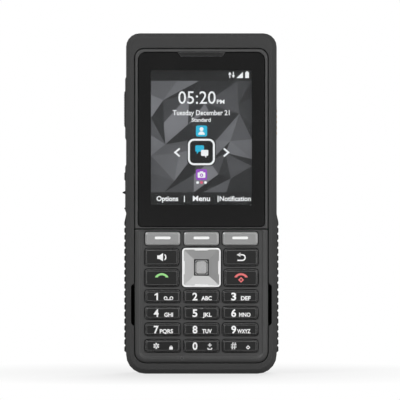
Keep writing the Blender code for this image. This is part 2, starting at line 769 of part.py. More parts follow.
def pad_outline(inset=0.0):
    low_radius = max(FRAME_BOTTOM_RADIUS - inset, SEAM_RADIUS)
    high = PAD_HIGH - inset * PAD_TOP_SLOPE
    return plate(FRAME_HALF - inset, FRAME_LOW + inset, high, low_radius, SEAM_RADIUS)


def build_keypad_frame():
    """The lower front frame: a soft ridge round a sunken floor with an opening for each key."""
    rings = [
        (pad_outline(), Y_FRAME_BACK),
        (pad_outline(), Y_FRAME_FRONT + PAD_EDGE_DROP),
        (pad_outline(RIDGE_INSET / 2), Y_FRAME_FRONT + RIDGE_CROWN),
        (pad_outline(RIDGE_INSET), Y_FRAME_FRONT),
        (pad_outline(RIDGE_FOOT_INSET), Y_PAD_FLOOR),
    ]
    frame = piece("keypad_frame", (rings, "Y"), "frame_plastic", smooth=True)
    pocket = plate(
        FRAME_HALF - PAD_SKIRT,
        FRAME_LOW + CHIN - MAT_EDGE - GAP,
        PAD_HIGH - PAD_TOP_SKIRT,
        MAT_RADIUS,
        MAT_RADIUS,
    )
    cut(frame, [prism(pocket, Y_PAD_BACK, Y_FRAME_BACK + BEYOND)], "pocket")
    start, end = Y_KEY_FRONT - BEYOND, Y_PAD_BACK + BEYOND
    openings = []
    for _, x, z, width, height in all_keys():
        outline = key_plate(x, z, width, height, KEY_RADIUS, -KEY_GAP)
        openings.append(prism(outline, start, end))
    openings.append(prism(key_plate(0.0, NAV_Z, NAV_WIDTH, NAV_HEIGHT, NAV_RADIUS, -KEY_GAP), start, end))
    openings.append(rod(MIC_X, MIC_Z, MIC_RADIUS, start, end, 12))
    cut(frame, openings, "openings")
    places = [SCREWS["screw_bottom_left"], SCREWS["screw_bottom_right"]]
    join(frame, screw_bosses(places, Y_PAD_BACK - PAD_PLATE_THICK / 2), "bosses")
    cut(frame, screw_bores(places, SCREW_SHANK_RADIUS + GAP), "bores")


def build_keys():
    for name, x, z, width, height in all_keys():
        shoulder = Y_KEY_FRONT + KEY_CHAMFER_DEPTH
        rings = [
            (key_plate(x, z, width, height, KEY_RADIUS, KEY_CHAMFER), Y_KEY_FRONT),
            (key_plate(x, z, width, height, KEY_RADIUS), shoulder),
            (key_plate(x, z, width, height, KEY_RADIUS), Y_KEY_BACK),
        ]
        finish = "silver" if name.startswith("softkey") else "key_plastic"
        set_origin(piece(name, (rings, "Y"), finish), x, Y_KEY_FRONT, z)


def nav_plate(inset):
    return key_plate(0.0, NAV_Z, NAV_WIDTH, NAV_HEIGHT, NAV_RADIUS, inset)


def ok_plate(inset):
    return key_plate(0.0, NAV_Z, OK_WIDTH, OK_HEIGHT, OK_RADIUS, inset)


def nav_levels():
    """The nav ring's back, and the actuator's front and back."""
    ring_back = Y_KEY_FRONT + NAV_THICK
    actuator_front = ring_back + NAV_TILT_ROOM
    return ring_back, actuator_front, actuator_front + ACTUATOR_THICK


def build_nav():
    """The direction pad rocks up and down on an actuator that rocks left and right."""
    ring_back, actuator_front, actuator_back = nav_levels()
    rings = [
        (nav_plate(0.0), ring_back),
        (nav_plate(0.0), Y_KEY_FRONT + NAV_RIM_CHAMFER),
        (nav_plate(NAV_RIM_CHAMFER), Y_KEY_FRONT),
        (nav_plate(NAV_RIM), Y_KEY_FRONT),
        (nav_plate(NAV_RIM + NAV_RIM_STEP), Y_KEY_FRONT + NAV_RIM_DROP),
        (ok_plate(-2 * KEY_GAP), Y_KEY_FRONT + NAV_RIM_DROP + NAV_DISH),
    ]
    ring = piece("nav_ring", (rings, "Y"), "silver")
    hole = prism(ok_plate(-KEY_GAP), Y_KEY_FRONT - BEYOND, ring_back + BEYOND)
    cut(ring, [hole], "hole")
    set_origin(ring, 0.0, ring_back, NAV_Z)
    plate_shell = prism(nav_plate(ACTUATOR_INSET), actuator_front, actuator_back)
    actuator = piece("nav_actuator", plate_shell, "silicone")
    cut(actuator, [prism(ok_plate(-2 * KEY_GAP), actuator_front - BEYOND, actuator_back + BEYOND)])
    set_origin(actuator, 0.0, ring_back, NAV_Z)
    front = Y_KEY_FRONT + OK_SUNK
    rings = [(ok_plate(OK_CHAMFER), front), (ok_plate(0.0), front + OK_CHAMFER), (ok_plate(0.0), Y_KEY_BACK)]
    set_origin(piece("ok_key", (rings, "Y"), "silver"), 0.0, front, NAV_Z)


def build_switch_layers():
    """The rubber mat, the dome sheet and the main board."""
    low = FRAME_LOW + CHIN - MAT_EDGE
    high = PAD_HIGH - PAD_TOP_SKIRT - GAP
    half = FRAME_HALF - PAD_SKIRT - GAP
    outline = plate(half, low, high, MAT_RADIUS, MAT_RADIUS)
    mat = piece("key_mat", prism(outline, Y_MAT_FRONT, Y_MAT_BACK), "silicone")
    cut(mat, boss_clearance(), "boss_room")
    sheet = piece("dome_sheet", prism(outline, Y_DOME_BASE, Y_DOME_BACK), "steel")
    places = [(x, z) for _, x, z, _, _ in all_keys()]
    reach = NAV_WIDTH / 2 - ACTUATOR_INSET - DOME_RADIUS
    places += [(0.0, NAV_Z), (reach, NAV_Z), (-reach, NAV_Z), (0.0, NAV_Z + reach), (0.0, NAV_Z - reach)]
    domes = []
    for x, z in places:
        foot = (Y_DOME_BASE + Y_DOME_BACK) / 2
        rings = [
            (circle(x, z, DOME_TOP_RADIUS, DOME_SIDES), Y_DOME_TOP),
            (circle(x, z, DOME_RADIUS, DOME_SIDES), Y_DOME_BASE - DOME_FOOT),
            (circle(x, z, DOME_RADIUS, DOME_SIDES), foot),
        ]
        domes.append((rings, "Y"))
    join(sheet, domes, "domes")
    cut(sheet, boss_clearance(), "boss_room")
    board_low_radius = HOUSING_BOTTOM_RADIUS - HOUSING_WALL
    outline = plate(CAVITY_HALF - GAP, CAVITY_LOW + GAP, BOARD_HIGH, board_low_radius, BOARD_RADIUS)
    board = piece("main_board", prism(outline, Y_BOARD_FRONT, Y_BOARD_BACK), "board")
    cut(board, boss_clearance(), "boss_room")


def build_board_parts():
    """What sits on the back of the main board, and the sound parts."""
    half, depth, height = SHIELD_SIZE[0] / 2, SHIELD_SIZE[1], SHIELD_SIZE[2]
    shell = block((-half, half), (Y_PARTS, Y_PARTS + depth), (SHIELD_LOW, SHIELD_LOW + height))
    shield = piece("shield_can", shell, "steel")
    inner = half - SHIELD_WALL
    span = (SHIELD_LOW + SHIELD_WALL, SHIELD_LOW + height - SHIELD_WALL)
    cut(shield, [block((-inner, inner), (Y_PARTS - BEYOND, Y_PARTS + depth - SHIELD_WALL), span)])
    half = SIM_SIZE[0] / 2
    levels = (Y_PARTS, Y_PARTS + SIM_SIZE[1])
    piece("sim_socket", block((SIM_X - half, SIM_X + half), levels, (SIM_LOW, SIM_LOW + SIM_SIZE[2])), "steel")
    half = LOUDSPEAKER_SIZE[0] / 2
    levels = (Y_PARTS, Y_PARTS + LOUDSPEAKER_SIZE[1])
    heights = (LOUDSPEAKER_LOW, LOUDSPEAKER_LOW + LOUDSPEAKER_SIZE[2])
    spread = (LOUDSPEAKER_X - half, LOUDSPEAKER_X + half)
    piece("loudspeaker", block(spread, levels, heights), "steel")
    motor = rod(MOTOR_X, MOTOR_Z, MOTOR_RADIUS, Y_PARTS, Y_PARTS + MOTOR_THICK)
    piece("vibration_motor", motor, "steel", smooth=True)
    width, depth, height = RECEIVER_SIZE
    low = DISPLAY_HIGH + 2 * GAP
    levels = (Y_HOUSING_FRONT, Y_HOUSING_FRONT + depth)
    piece("earpiece_receiver", block((-width / 2, width / 2), levels, (low, low + height)), "steel")
    width, depth, height = MIC_SIZE
    low = MIC_Z - height / 2
    levels = (Y_HOUSING_FRONT, Y_HOUSING_FRONT + depth)
    piece("microphone", block((MIC_X - width / 2, MIC_X + width / 2), levels, (low, low + height)), "steel")
    for name, side in (("speaker_grille_left", -1), ("speaker_grille_right", 1)):
        outline = slot_outline(side, FRAME_HALF + GROOVE + GAP / 2, GRILLE_WIDTH, SLOT_LENGTH - 2 * GAP)
        piece(name, prism(outline, Y_BUMPER_FRONT + GRILLE_BELOW, Y_FRAME_BACK), "key_plastic")


def build_port():
    """The bottom connector and the hinged cover that closes it."""
    half, depth, height = USB_SIZE[0] / 2, USB_SIZE[1], USB_SIZE[2]
    low = CAVITY_LOW + GAP
    middle = Y_PARTS + depth / 2
    shell = block((PORT_X - half, PORT_X + half), (Y_PARTS, Y_PARTS + depth), (low, low + height))
    connector = piece("usb_connector", shell, "steel")
    mouth_half, mouth_depth, reach = USB_MOUTH[0] / 2, USB_MOUTH[1] / 2, USB_MOUTH[2]
    spread = (PORT_X - mouth_half, PORT_X + mouth_half)
    cut(connector, [block(spread, (middle - mouth_depth, middle + mouth_depth), (low - BEYOND, low + reach))])
    cover_half, front, back = port_cover_box()
    top = PORT_COVER_SUNK + PORT_COVER_THICK
    shell = block((PORT_X - cover_half, PORT_X + cover_half), (front, back), (PORT_COVER_SUNK, top))
    cover = piece("usb_cover", shell, "rubber")
    rib_half, rib_depth, rib_height = PORT_RIB[0] / 2, PORT_RIB[1] / 2, PORT_RIB[2]
    rib_span = (top - PORT_COVER_THICK / 2, top + rib_height)
    spread = (PORT_X - rib_half, PORT_X + rib_half)
    join(cover, [block(spread, (PORT_Y - rib_depth, PORT_Y + rib_depth), rib_span)], "rib")
    set_origin(cover, PORT_X, back, PORT_COVER_SUNK)


def build_rear_housing():
    """The tub: a cavity for the boards from the front, and a battery bay from the back."""
    rings = [
        (housing_outline(), Y_HOUSING_FRONT),
        (housing_outline(), Y_BACK_LIP - GAP),
        (back_outline(), Y_BACK_LIP - GAP),
        (back_outline(), Y_BACK_FACE - BACK_EDGE_CHAMFER),
        (back_outline(-BACK_EDGE_CHAMFER), Y_BACK_FACE),
    ]
    housing = piece("rear_housing", (rings, "Y"), "housing_plastic", smooth=True)
    cavity = prism(housing_outline(-HOUSING_WALL), Y_HOUSING_FRONT - BEYOND, Y_BAY_BACK)
    cut(housing, [cavity], "cavity")
    pocket_half = TOP_POCKET_HALF_WIDTH
    pocket_low = BODY_HEIGHT - TOP_POCKET_LOW_DROP
    pocket = block((-pocket_half, pocket_half), (Y_BAY_BACK - BEYOND, Y_POCKET_END), (pocket_low, CAVITY_HIGH))
    bay_half = BATTERY_HALF_WIDTH + GAP
    bay = block((-bay_half, bay_half), (Y_BAY_FLOOR, Y_REAR_MOST + BEYOND), (BATTERY_LOW - GAP, BAY_HIGH))
    latch_bores = []
    for side in (-1, 1):
        end = Y_BACK_FACE - LATCH_STEM_END - GAP
        latch_bores.append(rod(side * LATCH_X, LATCH_Z, LATCH_BORE_RADIUS, end, Y_REAR_MOST + BEYOND))
    cut(housing, [pocket, bay, *latch_bores], "bay")
    cut(housing, [prism(cover_outline(GAP), Y_COVER_SEAT, Y_REAR_MOST + BEYOND)], "recess")
    half = CONTACT_SIZE[0] / 2 + GAP
    contact_slot = block(
        (CONTACT_X - half, CONTACT_X + half),
        (Y_BAY_BACK - BEYOND, Y_BAY_FLOOR + BEYOND),
        (CONTACT_LOW - GAP, CONTACT_HIGH + GAP),
    )
    sim_half = SIM_SIZE[0] / 2 + GAP
    sim_window = block(
        (SIM_X - sim_half, SIM_X + sim_half),
        (Y_BAY_BACK - BEYOND, Y_BAY_FLOOR + BEYOND),
        (SIM_LOW - GAP, SIM_LOW + SIM_SIZE[2] + GAP),
    )
    cut(housing, [contact_slot, sim_window], "floor_slots")
    aperture = rod(0.0, CAMERA_Z, BARREL_RADIUS + 2 * GAP, Y_POCKET_END - BEYOND, Y_REAR_MOST + BEYOND)
    flash_hole = rod(FLASH_X, CAMERA_Z, FLASH_RADIUS + GAP, Y_POCKET_END - BEYOND, Y_REAR_MOST + BEYOND)
    heads = []
    for x, z in SCREWS.values():
        seat = Y_BACK_FACE - SCREW_HEAD_DEPTH - SCREW_HEAD_THICK - GAP
        rings = [
            (circle(x, z, SCREW_SHANK_RADIUS + GAP, 16), Y_BAY_BACK - BEYOND),
            (circle(x, z, SCREW_SHANK_RADIUS + GAP, 16), seat),
            (circle(x, z, SCREW_HEAD_RADIUS + GAP, 16), seat),
            (circle(x, z, SCREW_HEAD_RADIUS + GAP, 16), Y_REAR_MOST + BEYOND),
        ]
        heads.append((rings, "Y"))
    cut(housing, [aperture, flash_hole, *heads], "holes")
    window_seat = Y_REAR_MOST - CAMERA_WINDOW_THICK - GAP
    seat = rod(0.0, CAMERA_Z, CAMERA_WINDOW_RADIUS + GAP, window_seat, Y_REAR_MOST + BEYOND)
    rib_half, rib_depth = PORT_RIB[0] / 2 + PORT_HOLE_ROOM, PORT_RIB[1] / 2 + PORT_HOLE_ROOM
    port_hole = block(
        (PORT_X - rib_half, PORT_X + rib_half),
        (PORT_Y - rib_depth, PORT_Y + rib_depth),
        (HOUSING_LOW - BEYOND, CAVITY_LOW + GAP),
    )
    contact_inner = BODY_HALF + ACCESSORY_PROUD - ACCESSORY_THICK - GAP
    side_hole = prism(accessory_outline(GAP), contact_inner, BODY_HALF, "X")
    cut(housing, [seat, port_hole, side_hole], "outlets")


def cover_outline(grow=0.0):
    radius = COVER_RADIUS + grow
    return plate(COVER_HALF_WIDTH + grow, COVER_LOW - grow, COVER_HIGH + grow, radius, radius)


def build_battery():
    outline = plate(BATTERY_HALF_WIDTH, BATTERY_LOW, BATTERY_HIGH, BATTERY_RADIUS, BATTERY_RADIUS)
    piece("battery", prism(outline, Y_BATTERY_FRONT, Y_BATTERY_BACK), "battery_wrap")
    half = CONTACT_SIZE[0] / 2
    shell = block(
        (CONTACT_X - half, CONTACT_X + half),
        (Y_PARTS, (Y_BATTERY_FRONT + Y_BATTERY_BACK) / 2),
        (CONTACT_LOW, CONTACT_HIGH),
    )
    piece("battery_contacts", shell, "key_plastic")
    rings = [
        (cover_outline(), Y_COVER_FRONT),
        (cover_outline(), Y_BACK_FACE - COVER_CHAMFER),
        (cover_outline(-COVER_CHAMFER), Y_BACK_FACE),
    ]
    cover = piece("battery_cover", (rings, "Y"), "housing_plastic")
    head_seat = Y_BACK_FACE - LATCH_HEAD_THICK - GAP
    holes = []
    for side in (-1, 1):
        rings = [
            (circle(side * LATCH_X, LATCH_Z, LATCH_STEM_RADIUS + GAP), Y_COVER_FRONT - BEYOND),
            (circle(side * LATCH_X, LATCH_Z, LATCH_STEM_RADIUS + GAP), head_seat),
            (circle(side * LATCH_X, LATCH_Z, LATCH_HEAD_RADIUS + GAP), head_seat),
            (circle(side * LATCH_X, LATCH_Z, LATCH_HEAD_RADIUS + GAP), Y_BACK_FACE + BEYOND),
        ]
        holes.append((rings, "Y"))
    cut(cover, holes, "latch_holes")


def build_latches():
    """Two quarter-turn latches: a slotted head, a stem and a wing bar behind the cover."""
    head_front = Y_BACK_FACE - LATCH_HEAD_THICK
    wing_back = Y_BACK_FACE - LATCH_WING_DEPTH
    for name, side in (("latch_left", -1), ("latch_right", 1)):
        x = side * LATCH_X
        rings = [
            (circle(x, LATCH_Z, LATCH_STEM_RADIUS), Y_BACK_FACE - LATCH_STEM_END),
            (circle(x, LATCH_Z, LATCH_STEM_RADIUS), head_front),
            (circle(x, LATCH_Z, LATCH_HEAD_RADIUS), head_front),
            (circle(x, LATCH_Z, LATCH_HEAD_RADIUS), Y_BACK_FACE),
        ]
        latch = piece(name, (rings, "Y"), "steel", smooth=True)
        half = LATCH_WING_WIDTH / 2
        wing = block(
            (x - LATCH_WING_RADIUS, x + LATCH_WING_RADIUS),
            (wing_back - LATCH_WING_THICK, wing_back),
            (LATCH_Z - half, LATCH_Z + half),
        )
        join(latch, [wing], "wing")
        length, width, depth = LATCH_SLOT
        slot = block(
            (x - length / 2, x + length / 2),
            (Y_BACK_FACE - depth, Y_BACK_FACE + BEYOND),
            (LATCH_Z - width / 2, LATCH_Z + width / 2),
        )
        cut(latch, [slot], "slot")
        set_origin(latch, x, Y_BACK_FACE, LATCH_Z)


def build_screws():
    head_back = Y_BACK_FACE - SCREW_HEAD_DEPTH
    head_front = head_back - SCREW_HEAD_THICK
    length, width, depth = SCREW_SOCKET
    for name, (x, z) in SCREWS.items():
        rings = [
            (circle(x, z, SCREW_SHANK_RADIUS, 16), Y_BACK_FACE - SCREW_SHANK_END),
            (circle(x, z, SCREW_SHANK_RADIUS, 16), head_front),
            (circle(x, z, SCREW_HEAD_RADIUS, 16), head_front),
            (circle(x, z, SCREW_HEAD_RADIUS, 16), head_back),
        ]
        screw = piece(name, (rings, "Y"), "steel", smooth=True)
        levels = (head_back - depth, head_back + BEYOND)
        across = block((x - length / 2, x + length / 2), levels, (z - width / 2, z + width / 2))
        upright = block((x - width / 2, x + width / 2), levels, (z - length / 2, z + length / 2))
        cut(screw, [across], "slot_across")
        cut(screw, [upright], "slot_upright")


def build_camera():
    half = CAMERA_SIZE / 2
    end = Y_POCKET_END - GAP
    camera = piece(
        "rear_camera",
        block((-half, half), (Y_PARTS, end), (CAMERA_Z - half, CAMERA_Z + half)),
        "key_plastic",
    )
    window_front = Y_REAR_MOST - CAMERA_WINDOW_THICK
    barrel_end = min(end + BARREL_DEPTH, window_front - GAP)
    join(camera, [rod(0.0, CAMERA_Z, BARREL_RADIUS, end - BARREL_DEPTH, barrel_end)], "barrel")
    rings = [
        (circle(0.0, CAMERA_Z, CAMERA_WINDOW_RADIUS), window_front),
        (circle(0.0, CAMERA_Z, CAMERA_WINDOW_RADIUS), Y_BACK_FACE),
        (circle(0.0, CAMERA_Z, CAMERA_WINDOW_RADIUS - CAMERA_PROUD), Y_REAR_MOST),
    ]
    piece("camera_window", (rings, "Y"), "glass", smooth=True)
    flash = rod(FLASH_X, CAMERA_Z, FLASH_RADIUS, Y_BACK_FACE - FLASH_THICK, Y_BACK_FACE)
    piece("flash_lens", flash, "lens", smooth=True)


def build_side_keys():
    ptt_low, ptt_high = PTT_KEY
    middle = (ptt_low + ptt_high) / 2
    outer = -BODY_HALF - PTT_PROUD
    size = (2 * PTT_HALF_DEPTH, ptt_high - ptt_low)
    rings = [
        (key_plate(0.0, middle, *size, SIDE_KEY_RADIUS, SIDE_KEY_CHAMFER), outer),
        (key_plate(0.0, middle, *size, SIDE_KEY_RADIUS), outer + SIDE_KEY_CHAMFER),
        (key_plate(0.0, middle, *size, SIDE_KEY_RADIUS), outer + PTT_THICK),
    ]
    set_origin(piece("ptt_key", (rings, "X"), "key_plastic"), outer, 0.0, middle)
    low, high = volume_span()
    middle = (low + high) / 2
    face = -BODY_HALF - COLLAR_PROUD
    inner = face + VOLUME_THICK
    size = (2 * VOLUME_HALF_DEPTH, high - low)
    rocker_shell = prism(key_plate(0.0, middle, *size, SIDE_KEY_RADIUS), face, inner, "X")
    rocker = piece("volume_rocker", rocker_shell, "key_plastic")
    half = VOLUME_HALF_DEPTH - RAISED_MARGIN
    root = (face + inner) / 2
    raised = []
    for raised_low, raised_high, proud in (VOLUME_BAR, VOLUME_PIP, VOLUME_BUMP):
        ramp = min(proud, (raised_high - raised_low) / 3)
        outline = [(face - proud, raised_low + ramp), (face - proud, raised_high - ramp)]
        outline += [(face, raised_high), (root, raised_high), (root, raised_low), (face, raised_low)]
        raised.append(prism(outline, -half, half))
    join(rocker, raised, "raised")
    set_origin(rocker, inner, 0.0, middle)
    outer = BODY_HALF + ACCESSORY_PROUD
    shell = prism(accessory_outline(), outer - ACCESSORY_THICK, outer, "X")
    piece("accessory_connector", shell, "key_plastic")


def main():
    clear_scene()
    build_bumper()
    build_grips()
    build_window_frame()
    build_window()
    build_keypad_frame()
    build_keys()
    build_nav()
    build_switch_layers()
    build_board_parts()
    build_port()
    build_rear_housing()
    build_battery()
    build_latches()
    build_screws()
    build_camera()
    build_side_keys()


main()
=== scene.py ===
"""The finish of a rugged keypad handset: materials, legends, lit screen, knurls and small trim.

Sizes are in millimetres and become metres where a mesh is laid in place. The handset stands on its
bottom edge with the screen facing -Y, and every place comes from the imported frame's own boxes.
"""

import logging
import math
import random
from dataclasses import dataclass, field
from enum import Enum

import bmesh
import bpy
from mathutils import Matrix, Vector


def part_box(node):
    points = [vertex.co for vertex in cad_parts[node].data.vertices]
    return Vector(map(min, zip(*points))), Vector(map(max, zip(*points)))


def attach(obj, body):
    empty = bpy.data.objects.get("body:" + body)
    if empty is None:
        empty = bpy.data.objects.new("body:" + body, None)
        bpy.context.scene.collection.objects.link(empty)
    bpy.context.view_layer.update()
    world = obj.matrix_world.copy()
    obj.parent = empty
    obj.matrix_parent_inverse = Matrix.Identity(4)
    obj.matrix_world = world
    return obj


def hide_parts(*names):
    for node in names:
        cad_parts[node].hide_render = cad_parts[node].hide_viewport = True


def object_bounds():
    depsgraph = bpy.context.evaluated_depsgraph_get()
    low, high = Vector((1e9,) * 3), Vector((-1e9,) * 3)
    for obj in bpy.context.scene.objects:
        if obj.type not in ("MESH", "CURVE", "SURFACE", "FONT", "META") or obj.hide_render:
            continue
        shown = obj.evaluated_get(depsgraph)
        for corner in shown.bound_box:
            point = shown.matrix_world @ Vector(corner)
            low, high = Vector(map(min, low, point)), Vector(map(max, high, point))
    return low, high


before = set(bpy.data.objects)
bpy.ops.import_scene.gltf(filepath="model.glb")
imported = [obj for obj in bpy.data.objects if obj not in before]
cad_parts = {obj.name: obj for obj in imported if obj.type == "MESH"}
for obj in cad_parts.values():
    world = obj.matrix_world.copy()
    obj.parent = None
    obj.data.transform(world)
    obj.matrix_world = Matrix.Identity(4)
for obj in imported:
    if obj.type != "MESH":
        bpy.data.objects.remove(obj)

LOG = logging.getLogger("handset")
CAD_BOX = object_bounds()
MM = 0.001
INK_LIFT = 0.01
INK_THICK = 0.02
ARC_STEPS = 8
CAPITAL_HEIGHT = 0.682
SOFT_KEYS = ("softkey_left", "softkey_middle", "softkey_right")
CALL_KEYS = ("speaker_key", "back_key", "call_key", "end_key")
NUMBER_KEYS = (*(f"key_{digit}" for digit in range(1, 10)), "key_star", "key_0", "key_pound")

Colour = tuple[float, float, float]
Point = tuple[float, float]
Loop = list[Point]
Shape = list[Loop]


def grey(level: float) -> Colour:
    """Return a neutral colour for a display level from 0 to 255."""
    return tint(level, level, level)


def tint(red: float, green: float, blue: float) -> Colour:
    """Return the linear colour for three display levels from 0 to 255."""
    return tuple(_linear(level / 255) for level in (red, green, blue))


def _linear(share: float) -> float:
    """Return the linear light of one display share from 0 to 1."""
    return share / 12.92 if share <= 0.04045 else ((share + 0.055) / 1.055) ** 2.4


class Facing(Enum):
    """A side of the handset, as the directions of its across, up and outward axes."""

    FRONT = ((1, 0, 0), (0, 0, 1), (0, -1, 0))
    BACK = ((-1, 0, 0), (0, 0, 1), (0, 1, 0))
    LEFT = ((0, -1, 0), (0, 0, 1), (-1, 0, 0))
    RIGHT = ((0, 1, 0), (0, 0, 1), (1, 0, 0))
    BOTTOM = ((-1, 0, 0), (0, 1, 0), (0, 0, -1))

    def matrix(self, origin: Vector) -> Matrix:
        """Return the placement of a sheet of millimetres on this side.

        Args:
            origin: where the sheet's zero lies, in metres in the handset's frame.

        Returns:
            The matrix from sheet millimetres to metres.
        """
        across, up, out = (Vector(axis) for axis in self.value)
        turn = Matrix((across, up, out)).transposed().to_4x4()
        return Matrix.Translation(origin) @ turn @ Matrix.Scale(MM, 4)


class Align(Enum):
    """Where a word's given place lies on the word."""

    LEFT = 0.0
    CENTRE = 0.5
    RIGHT = 1.0


# ---------------------------------------------------------------------------------------------
# Node sheets: small helpers for shader and geometry trees
# ---------------------------------------------------------------------------------------------


class NodeSheet:
    """A node tree that is filled by name, value and link."""

    def __init__(self, tree: bpy.types.NodeTree) -> None:
        """Keep the tree and empty it."""
        self.tree = tree
        tree.nodes.clear()

    def add(self, kind: str, settings: dict | None = None, **values: object) -> bpy.types.Node:
        """Add a node.

        Args:
            kind: the node's type name.
            settings: properties of the node itself.
            values: input sockets by name, with _ for a space, each a value or an output to link.

        Returns:
            The new node.
        """
        node = self.tree.nodes.new(kind)
        for name, value in (settings or {}).items():
            setattr(node, name, value)
        for name, value in values.items():
            self.feed(node.inputs[name.replace("_", " ")], value)
        return node

    def feed(self, socket: bpy.types.NodeSocket, value: object) -> None:
        """Give a socket a link or a plain value.

        Args:
            socket: the input socket.
            value: an output socket to link, or a plain value.
        """
        if isinstance(value, bpy.types.NodeSocket):
            self.tree.links.new(value, socket)
        else:
            socket.default_value = value

    def maths(self, operation: str, first: object, second: object = 0.0) -> bpy.types.NodeSocket:
        """Add a maths node.

        Args:
            operation: the node's operation.
            first: its first number or socket.
            second: its second number or socket.

        Returns:
            The result's socket.
        """
        node = self.tree.nodes.new("ShaderNodeMath")
        node.operation = operation
        self.feed(node.inputs[0], first)
        self.feed(node.inputs[1], second)
        return node.outputs[0]

    def remap(self, value: object, low: float, high: float, new_low: float,
              new_high: float) -> bpy.types.NodeSocket:
        """Map a value from one range to another, clamped.

        Args:
            value: the socket or number to map.
            low: the start of its range.
            high: the end of its range.
            new_low: the result at the start.
            new_high: the result at the end.

        Returns:
            The mapped value's socket.
        """
        node = self.add("ShaderNodeMapRange", Value=value)
        for name, number in (("From Min", low), ("From Max", high), ("To Min", new_low),
                             ("To Max", new_high)):
            node.inputs[name].default_value = number
        return node.outputs[0]

    @property
    def place(self) -> bpy.types.NodeSocket:
        """Return a new socket of the piece's own coordinates."""
        return self.add("ShaderNodeTexCoord").outputs["Object"]

    def choose(self, share: bpy.types.NodeSocket, first: bpy.types.Node,
               second: bpy.types.Node) -> bpy.types.NodeSocket:
        """Mix two shaders.

        Args:
            share: how much of the second is taken, from 0 to 1.
            first: the first shader's node.
            second: the second shader's node.

        Returns:
            The mixed shader's socket.
        """
        mix = self.tree.nodes.new("ShaderNodeMixShader")
        for socket, value in zip(mix.inputs, (share, first.outputs[0], second.outputs[0])):
            self.feed(socket, value)
        return mix.outputs[0]

    def end(self, surface: bpy.types.NodeSocket, kind: str = "Material") -> None:
        """Feed a shader to a new Material or World output."""
        self.feed(self.add(f"ShaderNodeOutput{kind}").inputs["Surface"], surface)


def blank_material(name: str) -> tuple[bpy.types.Material, NodeSheet]:
    """Return a new node material and its empty sheet."""
    material = bpy.data.materials.new(name)
    material.use_nodes = True
    return material, NodeSheet(material.node_tree)


class SharedEffects:
    """Shader groups that several finishes use, each built once."""

    def __init__(self) -> None:
        """Build the groups."""
        self.edges = self._edges()
        self.grain = self._grain()
        self.dust = self._dust()

    @staticmethod
    def _group(name: str, inputs: dict[str, float], outputs: dict[str, str]) -> tuple:
        """Start a group.

        Args:
            name: the group's name.
            inputs: float inputs with their default values.
            outputs: outputs with their socket types.

        Returns:
            The group, its node sheet, its input node and its output node.
        """
        tree = bpy.data.node_groups.new(name, "ShaderNodeTree")
        sheet = NodeSheet(tree)
        for label, value in inputs.items():
            socket = tree.interface.new_socket(label, in_out="INPUT", socket_type="NodeSocketFloat")
            socket.default_value = value
        for label, kind in outputs.items():
            tree.interface.new_socket(label, in_out="OUTPUT", socket_type=kind)
        return tree, sheet, sheet.add("NodeGroupInput"), sheet.add("NodeGroupOutput")

    def _edges(self) -> bpy.types.NodeTree:
        """Round the edges' normals and mask the edges for a painted highlight, partly wear from
        handling.
        """
        tree, sheet, given, result = self._group(
            "edge_wear_and_highlight", {"Radius": 0.0002, "Reach": 0.3},
            {"Normal": "NodeSocketVector", "Mask": "NodeSocketFloat"})
        rounded = sheet.add("ShaderNodeBevel", {"samples": 6}, Radius=given.outputs["Radius"])
        flat = sheet.add("ShaderNodeNewGeometry")
        across = sheet.add("ShaderNodeVectorMath", {"operation": "DOT_PRODUCT"})
        sheet.feed(across.inputs[0], rounded.outputs["Normal"])
        sheet.feed(across.inputs[1], flat.outputs["True Normal"])
        bend = sheet.maths("SUBTRACT", 1.0, across.outputs["Value"])
        mask = sheet.maths("DIVIDE", bend, given.outputs["Reach"])
        mask.node.use_clamp = True
        sheet.feed(result.inputs["Normal"], rounded.outputs["Normal"])
        sheet.feed(result.inputs["Mask"], mask)
        return tree

    def _grain(self) -> bpy.types.NodeTree:
        """Make the spark-eroded grain of a mould: small cells with finer noise over them."""
        tree, sheet, given, result = self._group(
            "mould_grain", {"Cells per Metre": 2500.0, "Patches per Metre": 60.0},
            {"Height": "NodeSocketFloat", "Mottle": "NodeSocketFloat"})
        place = sheet.place
        cells = sheet.add("ShaderNodeTexVoronoi", Vector=place,
                          Scale=given.outputs["Cells per Metre"])
        fine = sheet.add("ShaderNodeTexNoise", Vector=place, Detail=3.0, Roughness=0.6,
                         Scale=sheet.maths("MULTIPLY", given.outputs["Cells per Metre"], 1.7))
        patches = sheet.add("ShaderNodeTexNoise", Vector=place, Detail=4.0, Roughness=0.55,
                            Scale=given.outputs["Patches per Metre"])
        height = sheet.maths("ADD", cells.outputs["Distance"], fine.outputs[0])
        sheet.feed(result.inputs["Height"], height)
        sheet.feed(result.inputs["Mottle"], patches.outputs[0])
        return tree

    def _dust(self) -> bpy.types.NodeTree:
        """Find where a little dust settles: on faces that look up, in patches."""
        tree, sheet, given, result = self._group(
            "dust", {"Amount": 0.2, "Specks per Metre": 900.0}, {"Mask": "NodeSocketFloat"})
        specks = sheet.add("ShaderNodeTexNoise", Vector=sheet.place, Detail=5.0, Roughness=0.7,
                           Scale=given.outputs["Specks per Metre"])
        upward = sheet.add("ShaderNodeSeparateXYZ",
                           Vector=sheet.add("ShaderNodeNewGeometry").outputs["Normal"])
        lying = sheet.remap(upward.outputs["Z"], 0.2, 1.0, 0.0, 1.0)
        speckled = sheet.remap(specks.outputs[0], 0.5, 0.7, 0.15, 1.0)
        share = sheet.maths("MULTIPLY", sheet.maths("MULTIPLY", lying, speckled),
                            given.outputs["Amount"])
        sheet.feed(result.inputs["Mask"], share)
        return tree


EFFECTS = SharedEffects()


# ---------------------------------------------------------------------------------------------
# Finishes
# ---------------------------------------------------------------------------------------------


